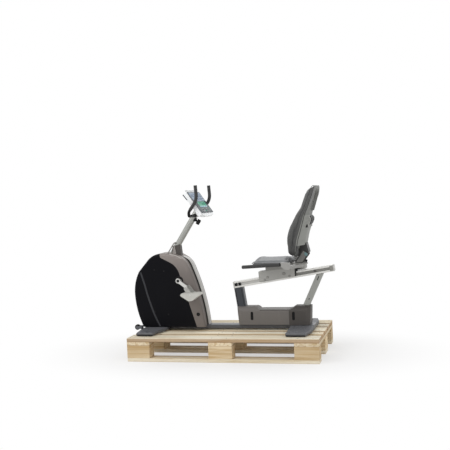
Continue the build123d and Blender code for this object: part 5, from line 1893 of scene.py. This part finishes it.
@dataclass
class Backrest(Assembly):
    """Padded back, its moulded shell, the arm and the recline box.

    seam and front give the x and z of the pad's rear and front faces. slimming is the share that
    is taken off the shell, the height where that starts and the height over which it grows; wrap
    how far the pad reaches round the shell and over which share of its depth; tuck the depth of
    the dent along the piping, its half width as a share of the pad's depth and the width of the
    pad's edge; channel the depth, half width and place of the two channels and the share of the
    pad's depth from which they show.
    """

    bottom: float = 556.0
    top: float = 1080.0
    half_width: float = 186.0
    corner: float = 70.0
    core: tuple = (1.0, 0.97, 0.985)
    core_x: float = 590.0
    fixed_depth: float = 5.0
    slimming: tuple = (0.16, 640.0, 90.0)
    wrap: tuple = (9.0, 0.45)
    piping: float = 0.42
    tuck: tuple = (2.2, 0.07, 26.0)
    channel: tuple = (2.6, 7.0, 118.0, 0.7)
    ridges: tuple = (-58.0, 0.0, 58.0)
    ridge: tuple = ((650.5, 895), (664.5, 940), (678.5, 986), (688.5, 1030), (690.5, 1056))
    bead: tuple = ((631, 784), (639, 803), (648, 826), (648, 838), (641, 849), (634, 860))
    bead_y: float = 84.0
    grip_half: float = 78.0
    latch: tuple = ((607, -118, 773), (631, -109, 795), 3.0, 3)
    grip: tuple = (
        (635, 789), (646, 801), (657, 824), (657, 839), (651, 850), (639, 861), (632, 857), (640, 838), (628, 786),
    )
    cheek: tuple = ((515, 512), (572, 598), (600, 576), (563, 514))
    cap: tuple = ((584, 590), (603, 575), (603, 563), (590, 556), (576, 574))
    seam: tuple = ((680, 1080), (665, 1018), (626, 918), (603, 869), (567, 757), (543, 681), (533, 616), (523, 556))
    front: tuple = (
        (493, 556), (476, 582), (473, 650), (479, 704), (493, 759), (521, 810),
        (555, 875), (588, 924), (611, 980), (634, 1040), (648, 1070), (664, 1080),
    )

    def faces(self, z: float) -> Point:
        """The x of the pad's rear and front faces at a height."""
        return reading(self.seam, z), reading(self.front, z)

    def depth(self, point: Vector) -> float:
        """Share of the pad's depth between the shell and a point."""
        back, face = self.faces(point.z)
        return (back - point.x) / max(back - face, 1.0)

    def rim(self, share: float, inset: float) -> list[Point]:
        """Closed line round the pad.

        Args:
            share: Share of the pad's depth between the shell and the line.
            inset: How far the line lies inside the pad's outline.

        Returns:
            Its points.
        """
        low = (inset - self.half_width, self.bottom + inset)
        high = (self.half_width - inset, self.top - inset)
        points = []
        for y, z in rounded(low, high, self.corner - inset, 8, (1, 12, 1, 12)):
            back, face = self.faces(z)
            points.append((back + (face - back) * share, y, z))
        return points

    def slimmed(self, shape: Shape) -> Shape:
        """Bring the shell's rear closer to the pad above its foot.

        Args:
            shape: The shell or something on it.

        Returns:
            The shape itself.
        """
        most, foot, rise = self.slimming
        for vertex in shape.mesh.verts:
            share = most * held((vertex.co.z - foot) / rise)
            vertex.co.x -= max(0.0, vertex.co.x - reading(self.seam, vertex.co.z)) * share
        return shape

    def pinched(self, mesh: bpy.types.Mesh) -> None:
        """Draw the cover in along the piping and press two soft channels into its front.

        Args:
            mesh: The pad's mesh, in metres.
        """
        pull, spread, edge = self.tuck
        dip, width, out, ahead = self.channel
        middle = (self.top + self.bottom) / 2
        for vertex in mesh.vertices:
            point = TO_BIKE @ vertex.co
            share = self.depth(point)
            if abs(point.y) > self.half_width - edge or not self.bottom + edge < point.z < self.top - edge:
                away = Vector((0, point.y, (point.z - middle) / 2)).normalized()
                vertex.co -= away * (pull * bell(share - self.piping, spread) / MM_PER_METRE)
            elif share > ahead:
                vertex.co.x += dip * bell(abs(point.y) - out, width) / MM_PER_METRE

    def wrapped(self, mesh: bpy.types.Mesh) -> None:
        """Carry the pad's rear edge a little way round the shell.

        Args:
            mesh: The pad's mesh, in metres.
        """
        reach, share = self.wrap
        for vertex in mesh.vertices:
            vertex.co.x += reach / MM_PER_METRE * held(1.0 - self.depth(TO_BIKE @ vertex.co) / share)

    def fitted(self, shape: Shape, name: str, finish: Finish) -> None:
        """Make a piece of a shape that follows the slimmed shell."""
        self.slimmed(shape).piece(name, finish, "back_shell")

    def shell_details(self) -> None:
        """Ridges, grab handle and latch slots on the shell's back."""
        ridges = Shape()
        for y in self.ridges:
            ridges.add(Shape.tube([(x, y, z) for x, z in self.ridge], 5.0))
        self.fitted(ridges, "shell_ridges", SHELL_PLASTIC)
        # Pale beads beside the grab handle, where the bulge's highlight falls: painted highlight.
        bead = Shape.tube([(x, -self.bead_y, z) for x, z in self.bead], 3.4)
        self.fitted(bead.both_sides(), "shell_highlight_beads", STRIP_PLASTIC)
        grip = Shape.prism(self.grip, -self.grip_half, self.grip_half, bevel=2.0)
        self.fitted(grip, "shell_grip", BLACK_RUBBER)
        self.fitted(Shape.block(*self.latch).both_sides(), "shell_latches", BLACK_PLASTIC)

    def build(self) -> None:
        """Make the backrest's pieces."""
        pad = Padding(voxel=6.0, swell=9.0)
        middle = (self.core_x, 0, (self.bottom + self.top) / 2)
        even = pad.evened(Shape.of_node("back_cushion").shrunk(middle, self.core))
        mesh = pad.inflated(even, lambda point: point.x > reading(self.seam, point.z) - self.fixed_depth)
        self.pinched(mesh)
        self.wrapped(mesh)
        pad.finished(mesh, "back_pad", BACK_VINYL, "back_cushion")
        for name, radius, share, inset, node in (
            ("back_piping", 2.2, self.piping, 1.0, "back_cushion"),
            ("back_edge_cord", 2.6, -0.15, 3.0, "back_shell"),
        ):
            cord = Shape.tube(self.rim(share, inset), radius, closed=True, smooth=False)
            cord.piece(name, PIPING, node)
        shell = self.slimmed(Shape.of_node("back_shell")).bevelled(5.0, 3, 24)
        shell.piece("back_shell_dressed", SHELL_PLASTIC, "back_shell", ("back_shell",))
        softened("back_arm", ARM_STEEL, 3.0, 3)
        self.shell_details()
        for name, finish, outline, low, high in (
            ("recline_cheeks", CHEEK_PLASTIC, self.cheek, 56.0, 60.0),
            ("recline_caps", TEAL_PLASTIC, self.cap, 56.5, 61.5),
        ):
            Shape.prism(outline, low, high, bevel=1.5).both_sides().piece(name, finish, "recline_bracket")


# ---------------------------------------------------------------------------- studio
@dataclass
class Studio:
    """Floor, lights, world and camera, in metres in the row frame.

    lamps gives each lamp's name, place, aim, size and power; fade the floor's two distances
    and how much of the backdrop is mixed in at the first.
    """

    azimuth: float = 15.0
    elevation: float = 2.2
    roll: float = -2.6
    distance: float = 5.8
    target: tuple = (-0.0479, 0.0, 0.984)
    sensor: float = 36.0
    lens: float = 60.0
    clip: float = 60.0
    sky: float = 0.62
    floor_half: float = 30.0
    floor_tone: float = 0.86
    floor_stretch: tuple = (0.62, 1.0, 1.0)
    fade: tuple = (0.42, 1.1, 0.55)
    lamps: tuple = (
        ("key", (-2.4, -2.6, 3.4), (0.0, 0.0, 0.6), 2.4, 62.0),
        ("fill", (3.0, -2.4, 1.8), (0.1, 0.0, 0.6), 2.6, 22.0),
        ("rear", (0.5, 3.0, 2.6), (0.0, 0.0, 0.7), 2.6, 26.0),
    )

    @staticmethod
    def backdrop(graph: Graph) -> Socket:
        """1 for what the camera, a gloss or a clear piece sees straight away, else 0.

        Args:
            graph: The nodes that need it.

        Returns:
            The value.
        """
        path = graph.node("LightPath").outputs
        seen = graph.maths("MAXIMUM", path["Is Camera Ray"], path["Is Glossy Ray"])
        return graph.maths("MAXIMUM", seen, path["Is Transmission Ray"])

    def world(self) -> None:
        """White to the camera and in reflections, softer as a light."""
        world = bpy.data.worlds.new("studio_world")
        bpy.context.scene.world = world
        world.use_nodes = True
        graph = Graph(world.node_tree)
        sky = graph.tree.nodes["Background"]
        graph.put(sky.inputs[0], (1.0, 1.0, 1.0))
        graph.put(sky.inputs[1], graph.span(self.backdrop(graph), 0.0, 1.0, self.sky, 1.0))

    def floor(self) -> None:
        """Pale floor that keeps the shadow and fades into the backdrop."""
        sheet = bmesh.new()
        bmesh.ops.create_grid(sheet, x_segments=1, y_segments=1, size=self.floor_half)
        data = bpy.data.meshes.new("floor")
        sheet.to_mesh(data)
        sheet.free()
        floor = bpy.data.objects.new("floor", data)
        bpy.context.scene.collection.objects.link(floor)
        material = bpy.data.materials.new("studio_floor")
        material.use_nodes = True
        material.node_tree.nodes.clear()
        graph = Graph(material.node_tree)
        place = graph.placed(self.floor_stretch)
        reach = graph.operated("VectorMath", (place,), operation="LENGTH").outputs["Value"]
        seen = graph.maths("MULTIPLY", graph.span(reach, *self.fade, 1.0), self.backdrop(graph))
        matte = graph.operated("BsdfDiffuse", ((self.floor_tone,) * 3,)).outputs[0]
        glow = graph.node("Emission").outputs[0]
        mixed = graph.operated("MixShader", (seen, matte, glow)).outputs[0]
        graph.operated("OutputMaterial", (mixed,))
        data.materials.append(material)

    @staticmethod
    def lamp(name: str, place: Point, aim: Point, size: float, power: float) -> None:
        """Hang a square soft lamp.

        Args:
            name: Its name.
            place: Where it hangs.
            aim: Point that it is turned to.
            size: Its side.
            power: Its power in watts.
        """
        light = bpy.data.lights.new(name, "AREA")
        light.size = size
        light.energy = power
        lamp = bpy.data.objects.new(name, light)
        lamp.location = place
        lamp.rotation_euler = (Vector(aim) - Vector(place)).to_track_quat("-Z", "Y").to_euler()
        bpy.context.scene.collection.objects.link(lamp)

    def camera(self) -> None:
        """Camera a little to the front of the bike's left side, with a slight roll."""
        a, e, r = (math.radians(angle) for angle in (self.azimuth, self.elevation, self.roll))
        back = Vector((math.sin(a) * math.cos(e), -math.cos(a) * math.cos(e), math.sin(e)))
        right = (-back).cross(Vector((0, 0, 1))).normalized()
        turned = right * math.cos(r) + right.cross(-back) * math.sin(r)
        data = bpy.data.cameras.new("camera")
        data.sensor_width = self.sensor
        data.lens = self.lens
        data.clip_end = self.clip
        camera = bpy.data.objects.new("camera", data)
        camera.matrix_world = axes(Vector(self.target) + back * self.distance, turned, back)
        bpy.context.scene.collection.objects.link(camera)
        bpy.context.scene.camera = camera

    def build(self) -> None:
        """Set the stage."""
        bpy.context.scene.view_settings.view_transform = "Standard"
        self.world()
        self.floor()
        for row in self.lamps:
            self.lamp(*row)
        self.camera()


def main() -> None:
    """Build every sub-assembly in order."""
    logging.basicConfig(level=logging.INFO, format="%(name)s %(message)s")
    parts = (
        Studio(), Pallet(), Base(), Housing(), Drive(), Mast(), Handlebar(),
        Console(), SeatRail(), Shroud(), Carriage(), Seat(), Backrest(),
    )
    for part in parts:
        LOG.info("building %s", type(part).__name__)
        part.build()


if __name__ == "__main__":
    main()
